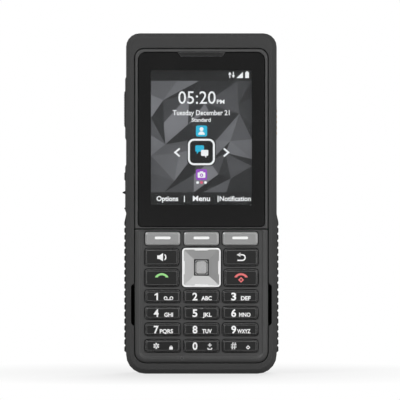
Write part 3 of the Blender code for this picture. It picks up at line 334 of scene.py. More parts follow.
@dataclass(frozen=True)
class Moulded:
    """A moulded or painted finish with grain, mottling, painted edge highlights and a trace of dust.

    Sizes are in millimetres. The edge colour is a painted highlight along the edges, partly wear.
    """

    name: str
    base: Colour
    rough: float
    edge: Colour
    highlight_and_wear: float = 0.5
    rounding: float = 0.25
    grain: float = 0.4
    grain_depth: float = 0.1
    mottle: float = 0.15
    metallic: float = 0.0
    dust: float = 0.12
    coat: float = 0.0
    specular: float = 0.5
    reach: float = 0.25

    def build(self) -> bpy.types.Material:
        """Make the material."""
        material, sheet = blank_material(self.name)
        edges = self._group(sheet, EFFECTS.edges, {"Radius": self.rounding * MM, "Reach": self.reach})
        grain = self._group(sheet, EFFECTS.grain, {"Cells per Metre": 1 / (self.grain * MM)})
        dust = self._group(sheet, EFFECTS.dust, {"Amount": self.dust})
        low = tuple(part * (1 - self.mottle) for part in self.base)
        high = tuple(part * (1 + self.mottle) for part in self.base)
        patched = self._mix(sheet, grain.outputs["Mottle"], low, high)
        # The edge colour is a painted highlight along rounded edges, partly wear.
        highlit_and_worn = sheet.maths("MULTIPLY", edges.outputs["Mask"], self.highlight_and_wear)
        worn_and_highlit = self._mix(sheet, highlit_and_worn, patched, self.edge)
        dusty = self._mix(sheet, dust.outputs["Mask"], worn_and_highlit, grey(150))
        uneven = sheet.remap(grain.outputs["Mottle"], 0.3, 0.7, self.rough * 0.92,
                             min(1.0, self.rough * 1.1))
        bump = sheet.add("ShaderNodeBump", Strength=1.0, Distance=self.grain_depth * self.grain * MM,
                         Height=grain.outputs["Height"], Normal=edges.outputs["Normal"])
        shader = sheet.add("ShaderNodeBsdfPrincipled", Base_Color=dusty, Roughness=uneven,
                           Metallic=self.metallic, Normal=bump.outputs["Normal"],
                           Coat_Weight=self.coat, Coat_Roughness=0.2,
                           Specular_IOR_Level=self.specular)
        sheet.end(shader.outputs["BSDF"])
        return material

    @staticmethod
    def _group(sheet: NodeSheet, tree: bpy.types.NodeTree, values: dict[str, float]) -> bpy.types.Node:
        """Place a shared group.

        Args:
            sheet: the material's sheet.
            tree: the group.
            values: its inputs by name.

        Returns:
            The group's node.
        """
        node = sheet.add("ShaderNodeGroup", {"node_tree": tree})
        for name, value in values.items():
            node.inputs[name].default_value = value
        return node

    @staticmethod
    def _mix(sheet: NodeSheet, share: object, first: object, second: object) -> bpy.types.NodeSocket:
        """Mix two colours.

        Args:
            sheet: the material's sheet.
            share: how much of the second is taken, from 0 to 1.
            first: the first colour or its socket.
            second: the second colour or its socket.

        Returns:
            The mixed colour's socket.
        """
        node = sheet.tree.nodes.new("ShaderNodeMix")
        node.data_type = "RGBA"
        sheet.feed(node.inputs[0], share)
        for socket, value in ((node.inputs[6], first), (node.inputs[7], second)):
            sheet.feed(socket, (*value, 1.0) if isinstance(value, tuple) else value)
        return node.outputs[2]


@dataclass(frozen=True)
class ClearGlass:
    """Hardened cover glass or a lens, clear right through."""

    name: str
    rough: float = 0.02
    shade: Colour = (0.92, 0.94, 0.95)
    specular: float = 0.3

    def build(self) -> bpy.types.Material:
        """Make the material, with the faint smears that handled glass has."""
        material, sheet = blank_material(self.name)
        smears = sheet.add("ShaderNodeTexNoise", Vector=sheet.place, Scale=90.0, Detail=4.0)
        rough = sheet.remap(smears.outputs[0], 0.35, 0.75, self.rough, self.rough + 0.05)
        shader = sheet.add("ShaderNodeBsdfPrincipled", Base_Color=(*self.shade, 1.0),
                           Roughness=rough, IOR=1.5, Transmission_Weight=1.0,
                           Specular_IOR_Level=self.specular)
        sheet.end(shader.outputs["BSDF"])
        return material


def glow_through(sheet: NodeSheet, colour: object, level: bpy.types.NodeSocket,
                 strength: float) -> None:
    """Finish a lit material: a colour scaled by a level, given off by a dark surface.

    Args:
        sheet: the material's sheet.
        colour: the plain colour or its socket.
        level: how bright each place is.
        strength: the strength of the light.
    """
    glow = sheet.add("ShaderNodeVectorMath", {"operation": "SCALE"}, Scale=level)
    sheet.feed(glow.inputs[0], colour)
    shader = sheet.add("ShaderNodeBsdfPrincipled", Base_Color=(0.0, 0.0, 0.0, 1.0), Roughness=0.6,
                       Emission_Color=glow.outputs[0], Emission_Strength=strength)
    sheet.end(shader.outputs["BSDF"])


@dataclass(frozen=True)
class Lit:
    """A lit part of the screen, in one colour with the fine rows of its cells."""

    name: str
    colour: Colour
    strength: float = 1.0

    def build(self) -> bpy.types.Material:
        """Make the material."""
        material, sheet = blank_material(self.name)
        rows = sheet.add("ShaderNodeTexWave", {"bands_direction": "Z"}, Vector=sheet.place,
                         Scale=550.0)
        level = sheet.remap(rows.outputs[1], 0.0, 1.0, 0.94, 1.0)
        glow_through(sheet, self.colour, level, self.strength)
        return material


@dataclass(frozen=True)
class LitFacets:
    """The lit backdrop of the screen, whose facets each hold their own shade in an attribute."""

    name: str
    attribute: str
    strength: float = 1.0

    def build(self) -> bpy.types.Material:
        """Make the material, with a soft fall of light across the facets."""
        material, sheet = blank_material(self.name)
        shade = sheet.add("ShaderNodeAttribute", {"attribute_name": self.attribute})
        cloud = sheet.add("ShaderNodeTexNoise", Vector=sheet.place, Scale=55.0, Detail=2.0)
        level = sheet.remap(cloud.outputs[0], 0.3, 0.7, 0.85, 1.12)
        glow_through(sheet, shade.outputs["Color"], level, self.strength)
        return material


class Finish(Enum):
    """Every finish on the handset. A finish's material is made when it is first asked for."""

    # Each edge colour and its share paint a highlight along the edges, partly wear.
    BUMPER = Moulded("bumper_rubber", grey(56), 0.6, grey(112), highlight_and_wear=0.4, rounding=0.45,
                     grain=0.42, grain_depth=0.3, specular=0.35)
    GRIP = Moulded("grip_rubber", grey(44), 0.7, grey(96), highlight_and_wear=0.4, rounding=0.2, grain=0.5,
                   grain_depth=0.3)
    SIDE_KEY = Moulded("side_key_rubber", grey(38), 0.6, grey(90), highlight_and_wear=0.3, rounding=0.25,
                       grain=0.3, grain_depth=0.2)
    FRAME = Moulded("frame_plastic", grey(64), 0.42, grey(150), highlight_and_wear=0.7, rounding=0.3,
                    grain=0.3, grain_depth=0.1, specular=0.4)
    KEY = Moulded("key_plastic", grey(28), 0.4, grey(185), highlight_and_wear=0.9, rounding=0.34,
                  grain=0.25, grain_depth=0.06, specular=0.3, reach=0.1)
    KEY_SEAT = Moulded("key_seat_rubber", grey(14), 0.8, grey(24), highlight_and_wear=0.2, rounding=0.1,
                       grain=0.3, grain_depth=0.08, dust=0.0, specular=0.1)
    HOUSING = Moulded("housing_plastic", grey(52), 0.5, grey(110), highlight_and_wear=0.4, rounding=0.25,
                      grain=0.35, grain_depth=0.16)
    COVER = Moulded("cover_plastic", grey(48), 0.52, grey(112), highlight_and_wear=0.4, rounding=0.25,
                    grain=0.45, grain_depth=0.22)
    SOFTKEY = Moulded("softkey_paint", grey(156), 0.34, grey(252), highlight_and_wear=0.95, rounding=0.3,
                      grain=0.12, grain_depth=0.0, metallic=0.3, mottle=0.04, dust=0.0,
                      reach=0.1)
    DISH = Moulded("pad_satin", grey(180), 0.36, grey(235), highlight_and_wear=0.3, rounding=0.12, grain=0.1,
                   grain_depth=0.0, metallic=0.75, mottle=0.02, dust=0.0)
    RIM = Moulded("pad_bright", grey(255), 0.22, grey(255), highlight_and_wear=0.5, rounding=0.12, grain=0.1,
                  grain_depth=0.0, metallic=0.15, mottle=0.01, coat=0.4, dust=0.0)
    KNURL = Moulded("ok_satin", grey(214), 0.3, grey(245), highlight_and_wear=0.4, rounding=0.05, grain=0.1,
                    grain_depth=0.0, metallic=0.6, mottle=0.03, dust=0.0)
    OK_BASE = Moulded("ok_base", grey(150), 0.35, grey(240), highlight_and_wear=0.9, rounding=0.2, grain=0.1,
                      grain_depth=0.0, metallic=0.5, mottle=0.03, dust=0.0)
    SCREW = Moulded("screw_black", grey(60), 0.32, grey(170), highlight_and_wear=0.6, rounding=0.12, grain=0.15,
                    grain_depth=0.05, metallic=0.9)
    LATCH = Moulded("latch_dark", grey(84), 0.38, grey(190), highlight_and_wear=0.7, rounding=0.15, grain=0.2,
                    grain_depth=0.06, metallic=0.8)
    CAN = Moulded("can_steel", grey(180), 0.35, grey(220), highlight_and_wear=0.3, rounding=0.1, grain=0.2,
                  grain_depth=0.05, metallic=0.95)
    GOLD = Moulded("contact_gold", tint(196, 158, 88), 0.32, tint(240, 212, 150), highlight_and_wear=0.4,
                   rounding=0.04, grain=0.1, grain_depth=0.03, metallic=1.0, mottle=0.05)
    BOARD = Moulded("board_lacquer", tint(22, 84, 54), 0.3, tint(60, 130, 90), highlight_and_wear=0.2,
                    rounding=0.08, grain=0.2, grain_depth=0.04, coat=0.3)
    WRAP = Moulded("battery_wrap", grey(74), 0.42, grey(120), highlight_and_wear=0.3, rounding=0.3, grain=0.3,
                   grain_depth=0.05)
    PALE = Moulded("battery_label", grey(186), 0.5, grey(205), highlight_and_wear=0.2, rounding=0.05,
                   grain=0.3, grain_depth=0.03)
    FLASH = Moulded("flash_diffuser", tint(238, 226, 170), 0.22, tint(255, 250, 220), highlight_and_wear=0.3,
                    rounding=0.08, grain=0.2, grain_depth=0.03, coat=0.5)
    MESH = Moulded("steel_mesh", grey(40), 0.45, grey(190), highlight_and_wear=0.9, rounding=0.16, grain=0.2,
                   grain_depth=0.05, metallic=0.3, dust=0.0, specular=0.3, reach=0.08)
    # Also the painted shade of the earpiece holes and of the OK key's corners.
    DARK = Moulded("dark_recess", grey(12), 0.7, grey(30), highlight_and_wear=0.2, rounding=0.05, grain=0.3,
                   grain_depth=0.05, dust=0.02, specular=0.2)
    # Near-black with no reflection: the dark grilles and seal, with painted shade in their slots and
    # gaps.
    SLOT = Moulded("slot_black_and_shade", grey(3), 0.95, grey(5), highlight_and_wear=0.1, rounding=0.05, grain=0.3,
                   grain_depth=0.05, dust=0.0, specular=0.0)
    BORDER = Moulded("border_ink", grey(24), 0.16, grey(36), highlight_and_wear=0.1, rounding=0.02, grain=0.3,
                     grain_depth=0.0, mottle=0.05, dust=0.0, specular=0.4)
    PANEL = Moulded("panel_black", grey(26), 0.4, grey(40), highlight_and_wear=0.1, rounding=0.05, grain=0.3,
                    grain_depth=0.02, dust=0.0)
    WHITE = Moulded("legend_white", grey(250), 0.45, grey(255), highlight_and_wear=0.1, rounding=0.02,
                    grain=0.2, grain_depth=0.03, mottle=0.02, dust=0.0)
    GREEN = Moulded("legend_green", tint(160, 226, 142), 0.45, tint(180, 240, 160), highlight_and_wear=0.1,
                    rounding=0.02, grain=0.2, grain_depth=0.03, mottle=0.03, dust=0.0)
    SALMON = Moulded("legend_salmon", tint(232, 116, 116), 0.45, tint(245, 140, 140), highlight_and_wear=0.1,
                     rounding=0.02, grain=0.2, grain_depth=0.03, mottle=0.03, dust=0.0)
    GLASS = ClearGlass("window_glass")
    LENS = ClearGlass("lens_glass", rough=0.01, shade=(0.85, 0.88, 0.95))
    LIT_WHITE = Lit("lit_white", grey(250), 1.05)
    LIT_CYAN = Lit("lit_cyan", tint(40, 190, 226))
    LIT_PURPLE = Lit("lit_purple", tint(160, 82, 200))
    LIT_ROSE = Lit("lit_rose", tint(236, 92, 128))
    LIT_BAR = Lit("lit_bar", grey(28))
    LIT_SHADOW = Lit("lit_shadow", grey(16))
    LIT_FACETS = LitFacets("lit_facets", "facet_shade")

    @property
    def material(self) -> bpy.types.Material:
        """Return this finish's one material."""
        if self not in MIXED:
            MIXED[self] = self.value.build()
        return MIXED[self]


MIXED: dict[Finish, bpy.types.Material] = {}


def wear_finish(node: str, finish: Finish) -> None:
    """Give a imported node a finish.

    Args:
        node: the node's name.
        finish: the finish that its one material slot takes.
    """
    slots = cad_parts[node].material_slots
    for slot in slots:
        slot.material = finish.material
    if not slots:
        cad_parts[node].data.materials.append(finish.material)


# ---------------------------------------------------------------------------------------------
# Making pieces
# ---------------------------------------------------------------------------------------------


def settle(mesh: bpy.types.Mesh, name: str, body: str) -> bpy.types.Object:
    """Link a finished mesh as a piece that rides on a body.

    Args:
        mesh: the mesh, with its place in its points.
        name: the piece's name.
        body: the body that it rides on.

    Returns:
        The piece.
    """
    mesh.name = name
    piece = bpy.data.objects.new(name, mesh)
    bpy.context.scene.collection.objects.link(piece)
    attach(piece, body)
    LOG.info("%s: %d faces on %s", name, len(mesh.polygons), body)
    return piece


def mesh_from(shape: bmesh.types.BMesh, finish: Finish, turn_out: bool = False) -> bpy.types.Mesh:
    """Turn a worked shape into a mesh with one finish.

    Args:
        shape: the shape, which is freed.
        finish: its finish.
        turn_out: whether the faces are turned outward again.

    Returns:
        The mesh.
    """
    if turn_out:
        bmesh.ops.recalc_face_normals(shape, faces=shape.faces)
    mesh = bpy.data.meshes.new("draft")
    shape.to_mesh(mesh)
    shape.free()
    mesh.materials.append(finish.material)
    return mesh


def arc_points(centre: Point, radius: float, start: float, end: float, steps: int = ARC_STEPS) -> Loop:
    """Return points along an arc.

    Args:
        centre: the arc's centre.
        radius: its radius.
        start: its first angle in degrees, anticlockwise from the right.
        end: its last angle in degrees.
        steps: how many chords it has.

    Returns:
        The points, from start to end.
    """
    angles = [math.radians(start + (end - start) * i / steps) for i in range(steps + 1)]
    return [(centre[0] + radius * math.cos(a), centre[1] + radius * math.sin(a)) for a in angles]


def round_box(centre: Point, width: float, height: float, radius: float) -> Loop:
    """Return a rectangle with round corners, anticlockwise.

    Args:
        centre: its centre.
        width: its width.
        height: its height.
        radius: its corners' radius.

    Returns:
        The closed outline's points.
    """
    across, up = width / 2 - radius, height / 2 - radius
    corners = ((across, up, 0), (-across, up, 90), (-across, -up, 180), (across, -up, 270))
    return [point for x, y, start in corners
            for point in arc_points((centre[0] + x, centre[1] + y), radius, start, start + 90)]


def disc(centre: Point, radius: float) -> Loop:
    """Return a circle's points."""
    return arc_points(centre, radius, 0, 360, 3 * ARC_STEPS)[:-1]


def band(path: Loop, width: float, closed: bool = False) -> list[Loop]:
    """Return the outline of a band that follows a path.

    Args:
        path: the band's middle line.
        width: its width.
        closed: whether the path joins its own start.

    Returns:
        One closed outline, or two for a closed path.
    """
    count = len(path)
    sides: tuple[Loop, Loop] = ([], [])
    for i, point in enumerate(path):
        here = Vector(point)
        before = Vector(path[i - 1] if i or closed else path[i])
        after = Vector(path[(i + 1) % count] if i < count - 1 or closed else path[i])
        into = (here - before).normalized() if here != before else (after - here).normalized()
        out = (after - here).normalized() if after != here else into
        mean = (into + out).normalized()
        normal = Vector((-mean.y, mean.x))
        reach = width / 2 / max(0.35, normal.dot(Vector((-into.y, into.x))))
        sides[0].append(tuple(here + normal * reach))
        sides[1].append(tuple(here - normal * reach))
    return [sides[0], sides[1]] if closed else [sides[0] + sides[1][::-1]]


@dataclass(frozen=True)
class Word:
    """A word on its base line, fitted to a width. Its height is that of its capitals."""

    text: str
    tall: float
    at: Point
    wide: float
    bold: float
    align: Align = Align.CENTRE


def flattened(curve: bpy.types.Curve) -> bpy.types.Mesh:
    """Return a curve's mesh.

    Args:
        curve: the curve or the word.

    Returns:
        A new mesh.
    """
    draft = bpy.data.objects.new("draft", curve)
    mesh = bpy.data.meshes.new_from_object(draft)
    bpy.data.objects.remove(draft)
    return mesh


class FlatArt:
    """Printed or inlaid shapes, gathered on a sheet of millimetres and then laid on a face."""

    def __init__(self, thick: float = INK_THICK) -> None:
        """Start an empty sheet of shapes of one thickness."""
        self.thick = thick
        self.shape = bmesh.new()

    def outlines(self, *loops: Loop, soften: float = 0.0) -> "FlatArt":
        """Add a filled shape.

        Args:
            loops: closed outlines; one inside another is a hole.
            soften: the width of a rounded edge.

        Returns:
            This sheet.
        """
        curve = bpy.data.curves.new("draft", "CURVE")
        curve.dimensions = "2D"
        curve.fill_mode = "BOTH"
        curve.bevel_depth = soften
        curve.bevel_resolution = 2
        curve.offset = -soften
        for loop in loops:
            spline = curve.splines.new("POLY")
            spline.points.add(len(loop) - 1)
            spline.use_cyclic_u = True
            for target, (x, y) in zip(spline.points, loop):
                target.co = (x, y, 0.0, 1.0)
        self._take(curve, Matrix.Identity(4), self.thick / 2 - soften)
        return self

    def line(self, path: Loop, width: float, closed: bool = False) -> "FlatArt":
        """Add a drawn line and return this sheet."""
        return self.outlines(*band(path, width, closed))

    def shapes(self, *shapes: Shape) -> "FlatArt":
        """Add filled shapes in order, each from its own outlines, and return this sheet."""
        for shape in shapes:
            self.outlines(*shape)
        return self

    def words(self, *words: Word) -> "FlatArt":
        """Add words in order.

        Args:
            words: the words, each thickened by its own boldness.

        Returns:
            This sheet.
        """
        for word in words:
            curve = bpy.data.curves.new("draft", "FONT")
            curve.body = word.text
            curve.resolution_u = 3
            curve.size = word.tall / CAPITAL_HEIGHT
            curve.offset = word.bold
            mesh = flattened(curve)
            left = min(v.co.x for v in mesh.vertices)
            right = max(v.co.x for v in mesh.vertices)
            bpy.data.meshes.remove(mesh)
            anchor = left + (right - left) * word.align.value
            fit = Matrix.Diagonal((word.wide / (right - left), 1, 1, 1))
            place = Matrix.Translation((*word.at, 0)) @ fit
            self._take(curve, place @ Matrix.Translation((-anchor, 0, 0)), self.thick / 2)
        return self

    def _take(self, curve: bpy.types.Curve, place: Matrix, extrude: float) -> None:
        """Thicken a curve and add its mesh to the sheet.

        Args:
            curve: the curve, which is removed.
            place: its place on the sheet.
            extrude: half its thickness.
        """
        curve.extrude = max(extrude, 0.0001)
        mesh = flattened(curve)
        mesh.transform(Matrix.Translation((0, 0, self.thick / 2)) @ place)
        self.shape.from_mesh(mesh)
        bpy.data.meshes.remove(mesh)
        bpy.data.curves.remove(curve)

    def lay(self, name: str, finish: Finish, facing: Facing, origin: Vector, body: str,
            slot: str | None = None) -> bpy.types.Object:
        """Lay the sheet on a face as one piece.

        Args:
            name: the piece's name.
            finish: its finish.
            facing: the side of the handset that it lies on.
            origin: where the sheet's zero goes, on the face itself.
            body: the body that it rides on.
            slot: not used.

        Returns:
            The piece.
        """
        bmesh.ops.remove_doubles(self.shape, verts=self.shape.verts, dist=0.002)
        bmesh.ops.recalc_face_normals(self.shape, faces=self.shape.faces)
        out = Vector(facing.value[2])
        mesh = mesh_from(self.shape, finish)
        mesh.transform(facing.matrix(origin + out * INK_LIFT * MM))
        return settle(mesh, name, body)


def geometry_sheet(name: str, kinds: dict[str, str]) -> tuple:
    """Start a geometry tree.

    Args:
        name: the tree's name.
        kinds: its inputs with their kinds of socket.

    Returns:
        The tree, its sheet and its inputs.
    """
    tree = bpy.data.node_groups.new(name, "GeometryNodeTree")
    sheet = NodeSheet(tree)
    for label, kind in kinds.items():
        tree.interface.new_socket(label, in_out="INPUT", socket_type=f"NodeSocket{kind}")
    tree.interface.new_socket("Geometry", in_out="OUTPUT", socket_type="NodeSocketGeometry")
    return tree, sheet, sheet.add("NodeGroupInput").outputs


def end_geometry(sheet: NodeSheet, plain: bpy.types.NodeSocket,
                 given: bpy.types.NodeOutputs) -> None:
    """Give plain geometry its finish and end the tree.

    Args:
        sheet: the tree's sheet.
        plain: the geometry.
        given: the tree's inputs.
    """
    dressed = sheet.add("GeometryNodeSetMaterial", Geometry=plain, Material=given["Finish"])
    sheet.add("NodeGroupOutput", Geometry=dressed.outputs[0])


class Stud(Enum):
    """The shape that a field repeats."""

    BLOCK = "block"
    PEG = "peg"
    PYRAMID = "pyramid"


@dataclass(frozen=True)
class Pattern:
    """A repeated shape that geometry nodes make on a sheet of millimetres."""

    name: str

    def tree(self) -> bpy.types.NodeTree:
        """Return the node tree, built when it is first needed."""
        raise NotImplementedError

    def values(self) -> dict[str, float]:
        """Return the tree's inputs by name, without the finish."""
        raise NotImplementedError

    def lay(self, finish: Finish, facing: Facing, origin: Vector, body: str,
            slot: str | None = None) -> bpy.types.Object:
        """Run the tree once and lay its result on a face as a plain mesh.

        Args:
            finish: the pattern's finish.
            facing: the side that it lies on.
            origin: the pattern's middle, on the face.
            body: the body that it rides on.
            slot: not used.

        Returns:
            The piece.
        """
        values = {**self.values(), "Finish": finish.material}
        host = bpy.data.objects.new("draft", bpy.data.meshes.new("draft"))
        bpy.context.scene.collection.objects.link(host)
        modifier = host.modifiers.new("grow", "NODES")
        modifier.node_group = self.tree()
        for item in modifier.node_group.interface.items_tree:
            if item.in_out == "INPUT" and item.name in values:
                modifier[item.identifier] = values[item.name]
        evaluated = host.evaluated_get(bpy.context.evaluated_depsgraph_get())
        mesh = bpy.data.meshes.new_from_object(evaluated)
        bpy.data.objects.remove(host)
        mesh.transform(facing.matrix(origin))
        return settle(mesh, self.name, body)


@dataclass(frozen=True)
class StudField(Pattern):
    """Rows of like studs.

    The size is the stud's width, height and depth. Every other row is shifted by the stagger.
    """

    stud: Stud
    columns: int
    rows: int
    column_pitch: float
    row_pitch: float
    size: tuple[float, float, float]
    stagger: float = 0.0

    def tree(self) -> bpy.types.NodeTree:
        """Return the node tree for this shape of stud, built when it is first needed."""
        name = f"stud_field_{self.stud.value}"
        return bpy.data.node_groups.get(name) or self._build_tree(name)

    def values(self) -> dict[str, float]:
        """Return the tree's inputs by name, without the finish."""
        wide, high, deep = self.size
        return {"Columns": self.columns, "Rows": self.rows, "Column Pitch": self.column_pitch,
                "Row Pitch": self.row_pitch, "Stagger": self.stagger, "Width": wide,
                "Height": high, "Depth": deep}

    def _build_tree(self, name: str) -> bpy.types.NodeTree:
        """Build the tree: a grid of points, a stud on each, then plain geometry.

        Args:
            name: the tree's name.

        Returns:
            The tree.
        """
        kinds = {"Columns": "Int", "Rows": "Int", "Column Pitch": "Float", "Row Pitch": "Float",
                 "Stagger": "Float", "Width": "Float", "Height": "Float", "Depth": "Float",
                 "Finish": "Material"}
        tree, sheet, given = geometry_sheet(name, kinds)
        wide = sheet.maths("MULTIPLY", sheet.maths("SUBTRACT", given["Columns"], 1.0),
                           given["Column Pitch"])
        high = sheet.maths("MULTIPLY", sheet.maths("SUBTRACT", given["Rows"], 1.0),
                           given["Row Pitch"])
        grid = sheet.add("GeometryNodeMeshGrid", Size_X=wide, Size_Y=high,
                         Vertices_X=given["Columns"], Vertices_Y=given["Rows"])
        place = sheet.add("ShaderNodeSeparateXYZ",
                          Vector=sheet.add("GeometryNodeInputPosition").outputs[0])
        row = sheet.maths("ROUND", sheet.maths(
            "DIVIDE", sheet.maths("ADD", place.outputs["Y"], sheet.maths("DIVIDE", high, 2.0)),
            given["Row Pitch"]))
        shift = sheet.maths("MULTIPLY", sheet.maths("MODULO", row, 2.0), given["Stagger"])
        offset = sheet.add("ShaderNodeCombineXYZ", X=shift)
        moved = sheet.add("GeometryNodeSetPosition", Geometry=grid.outputs["Mesh"],
                          Offset=offset.outputs[0])
        rise = sheet.add("ShaderNodeCombineXYZ", Z=sheet.maths("DIVIDE", given["Depth"], 2.0))
        stud = self._stud(sheet, given)
        lifted = sheet.add("GeometryNodeTransform", Geometry=stud, Translation=rise.outputs[0])
        studs = sheet.add("GeometryNodeInstanceOnPoints", Points=moved.outputs[0],
                          Instance=lifted.outputs[0])
        plain = sheet.add("GeometryNodeRealizeInstances", Geometry=studs.outputs[0])
        end_geometry(sheet, plain.outputs[0], given)
        return tree

    def _stud(self, sheet: NodeSheet, given: bpy.types.NodeOutputs) -> bpy.types.NodeSocket:
        """Add the stud's own nodes.

        Args:
            sheet: the tree's sheet.
            given: the tree's inputs.

        Returns:
            The stud's geometry.
        """
        size = sheet.add("ShaderNodeCombineXYZ", X=given["Width"], Y=given["Height"],
                         Z=given["Depth"])
        if self.stud is Stud.BLOCK:
            return sheet.add("GeometryNodeMeshCube", Size=size.outputs[0]).outputs["Mesh"]
        sides = 12 if self.stud is Stud.PEG else 4
        top = 0.42 if self.stud is Stud.PEG else 0.1
        cone = sheet.add("GeometryNodeMeshCone", Vertices=sides, Radius_Top=top,
                         Radius_Bottom=0.5, Depth=1.0)
        centred = sheet.add("GeometryNodeTransform", Geometry=cone.outputs["Mesh"],
                            Translation=(0.0, 0.0, -0.5))
        return sheet.add("GeometryNodeTransform", Geometry=centred.outputs[0],
                         Scale=size.outputs[0]).outputs[0]


@dataclass(frozen=True)
class RingSet(Pattern):
    """Concentric ridges round an axis, as on a lens or a diffuser."""

    rings: int
    first: float
    pitch: float
    wire: float

    def tree(self) -> bpy.types.NodeTree:
        """Return the node tree, built when it is first needed."""
        return bpy.data.node_groups.get("ring_set") or self._build_tree()

    def values(self) -> dict[str, float]:
        """Return the tree's inputs by name, without the finish."""
        return {"Rings": self.rings, "First Radius": self.first, "Pitch": self.pitch,
                "Wire": self.wire}

    @staticmethod
    def _build_tree() -> bpy.types.NodeTree:
        """Build the tree: a circle on each point, wider each time, given a round wire."""
        kinds = {"Rings": "Int", "First Radius": "Float", "Pitch": "Float", "Wire": "Float",
                 "Finish": "Material"}
        tree, sheet, given = geometry_sheet("ring_set", kinds)
        points = sheet.add("GeometryNodeMeshLine", Count=given["Rings"], Offset=(0.0, 0.0, 0.0))
        index = sheet.add("GeometryNodeInputIndex").outputs[0]
        radius = sheet.maths("ADD", given["First Radius"],
                             sheet.maths("MULTIPLY", index, given["Pitch"]))
        scale = sheet.add("ShaderNodeCombineXYZ", X=radius, Y=radius, Z=1.0)
        circle = sheet.add("GeometryNodeCurvePrimitiveCircle", Resolution=32, Radius=1.0)
        rings = sheet.add("GeometryNodeInstanceOnPoints", Points=points.outputs[0],
                          Instance=circle.outputs["Curve"], Scale=scale.outputs[0])
        plain = sheet.add("GeometryNodeRealizeInstances", Geometry=rings.outputs[0])
        profile = sheet.add("GeometryNodeCurvePrimitiveCircle", Resolution=8,
                            Radius=given["Wire"])
        wires = sheet.add("GeometryNodeCurveToMesh", Curve=plain.outputs[0],
                          Profile_Curve=profile.outputs["Curve"])
        end_geometry(sheet, wires.outputs[0], given)
        return tree


@dataclass(frozen=True)
class NodeBox:
    """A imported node's box, with places on it in metres."""

    node: str

    @property
    def low(self) -> Vector:
        """Return its lowest corner."""
        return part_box(self.node)[0]

    @property
    def high(self) -> Vector:
        """Return its highest corner."""
        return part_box(self.node)[1]

    @property
    def middle(self) -> Vector:
        """Return its middle."""
        return (self.low + self.high) / 2

    @property
    def size(self) -> Vector:
        """Return its size in millimetres."""
        return (self.high - self.low) / MM

    def face(self, facing: Facing) -> Vector:
        """Return the middle of one of its faces."""
        out = Vector(facing.value[2])
        return self.middle + Vector(o * s / 2 * MM for o, s in zip(out, self.size))


# ---------------------------------------------------------------------------------------------
# The handset's sub-assemblies
# ---------------------------------------------------------------------------------------------


@dataclass
class SubAssembly:
    """A part of the handset: it makes its pieces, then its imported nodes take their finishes."""

    finishes: dict[str, Finish] = field(default_factory=dict)

    def build(self) -> None:
        """Make the pieces."""
        raise NotImplementedError

    def dress(self) -> None:
        """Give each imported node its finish."""
        for node, finish in self.finishes.items():
            wear_finish(node, finish)


@dataclass
class Shells(SubAssembly):
    """The outer shells: bumper, side grips, front frames, rear housing and battery cover."""

    finishes: dict[str, Finish] = field(default_factory=lambda: {
        "bumper": Finish.BUMPER, "grip_left": Finish.GRIP, "grip_right": Finish.GRIP,
        "window_frame": Finish.FRAME, "keypad_frame": Finish.FRAME,
        "rear_housing": Finish.HOUSING, "battery_cover": Finish.COVER,
        "usb_cover": Finish.SIDE_KEY, "ptt_key": Finish.SIDE_KEY,
        "volume_rocker": Finish.SIDE_KEY})
    ribs: StudField = StudField("cover_thumb_ribs", Stud.BLOCK, 1, 7, 1.0, 1.8, (22.0, 0.7, 0.25))
    ribs_height: float = 9.5
    dots: StudField = StudField("talk_key_dots", Stud.PEG, 4, 12, 1.1, 1.1, (0.55, 0.55, 0.14), 0.55)

    def build(self) -> None:
        """Add the thumb ribs on the battery cover and the dots on the talk key."""
        cover = NodeBox("battery_cover")
        place = cover.face(Facing.BACK)
        place.z = cover.low.z + self.ribs_height * MM
        self.ribs.lay(Finish.COVER, Facing.BACK, place, "battery_cover", "housing_plastic")
        place = NodeBox("ptt_key").face(Facing.LEFT)
        place.y += self.dots.column_pitch / 4 * MM
        self.dots.lay(Finish.SIDE_KEY, Facing.LEFT, place, "ptt_key", "bumper_rubber")


@dataclass
class InnerParts(SubAssembly):
    """What shows when the covers are off: boards, cans, seals, battery, screws and contacts."""

    finishes: dict[str, Finish] = field(default_factory=lambda: {
        "main_board": Finish.BOARD, "shield_can": Finish.CAN, "sim_socket": Finish.CAN,
        "loudspeaker": Finish.CAN, "vibration_motor": Finish.CAN,
        "earpiece_receiver": Finish.DARK, "microphone": Finish.CAN, "dome_sheet": Finish.CAN,
        "usb_connector": Finish.CAN, "key_mat": Finish.KEY_SEAT,
        "display_gasket": Finish.DARK, "nav_actuator": Finish.KEY_SEAT,
        "battery": Finish.WRAP, "battery_contacts": Finish.DARK, "rear_camera": Finish.DARK,
        "accessory_connector": Finish.KEY, "display_module": Finish.PANEL,
        "earpiece_mesh": Finish.MESH, "speaker_grille_left": Finish.SLOT,
        "speaker_grille_right": Finish.SLOT, "flash_lens": Finish.FLASH,
        "latch_left": Finish.LATCH, "latch_right": Finish.LATCH,
        "screw_bottom_left": Finish.SCREW, "screw_bottom_right": Finish.SCREW,
        "screw_top_left": Finish.SCREW, "screw_top_right": Finish.SCREW})
    pins: StudField = StudField("accessory_pins", Stud.PEG, 2, 5, 2.8, 2.4, (1.2, 1.2, 0.12))
    springs: StudField = StudField("battery_springs", Stud.BLOCK, 4, 1, 2.6, 1.0, (1.2, 2.2, 0.15))
    label_margins: tuple[float, float] = (6.0, 12.0)
    label_corner: float = 1.0

    def build(self) -> None:
        """Add the gold contacts and the battery's blank label."""
        self.pins.lay(Finish.GOLD, Facing.RIGHT, NodeBox("accessory_connector").face(Facing.RIGHT),
                      "root")
        battery = NodeBox("battery")
        across, up = self.label_margins
        label = FlatArt()
        label.outlines(round_box((0, 0), battery.size.x - across, battery.size.z - up,
                                 self.label_corner))
        label.lay("battery_label", Finish.PALE, Facing.BACK, battery.face(Facing.BACK), "root",
                  "battery_wrap")
        self.springs.lay(Finish.GOLD, Facing.BACK, NodeBox("battery_contacts").face(Facing.BACK),
                         "root")


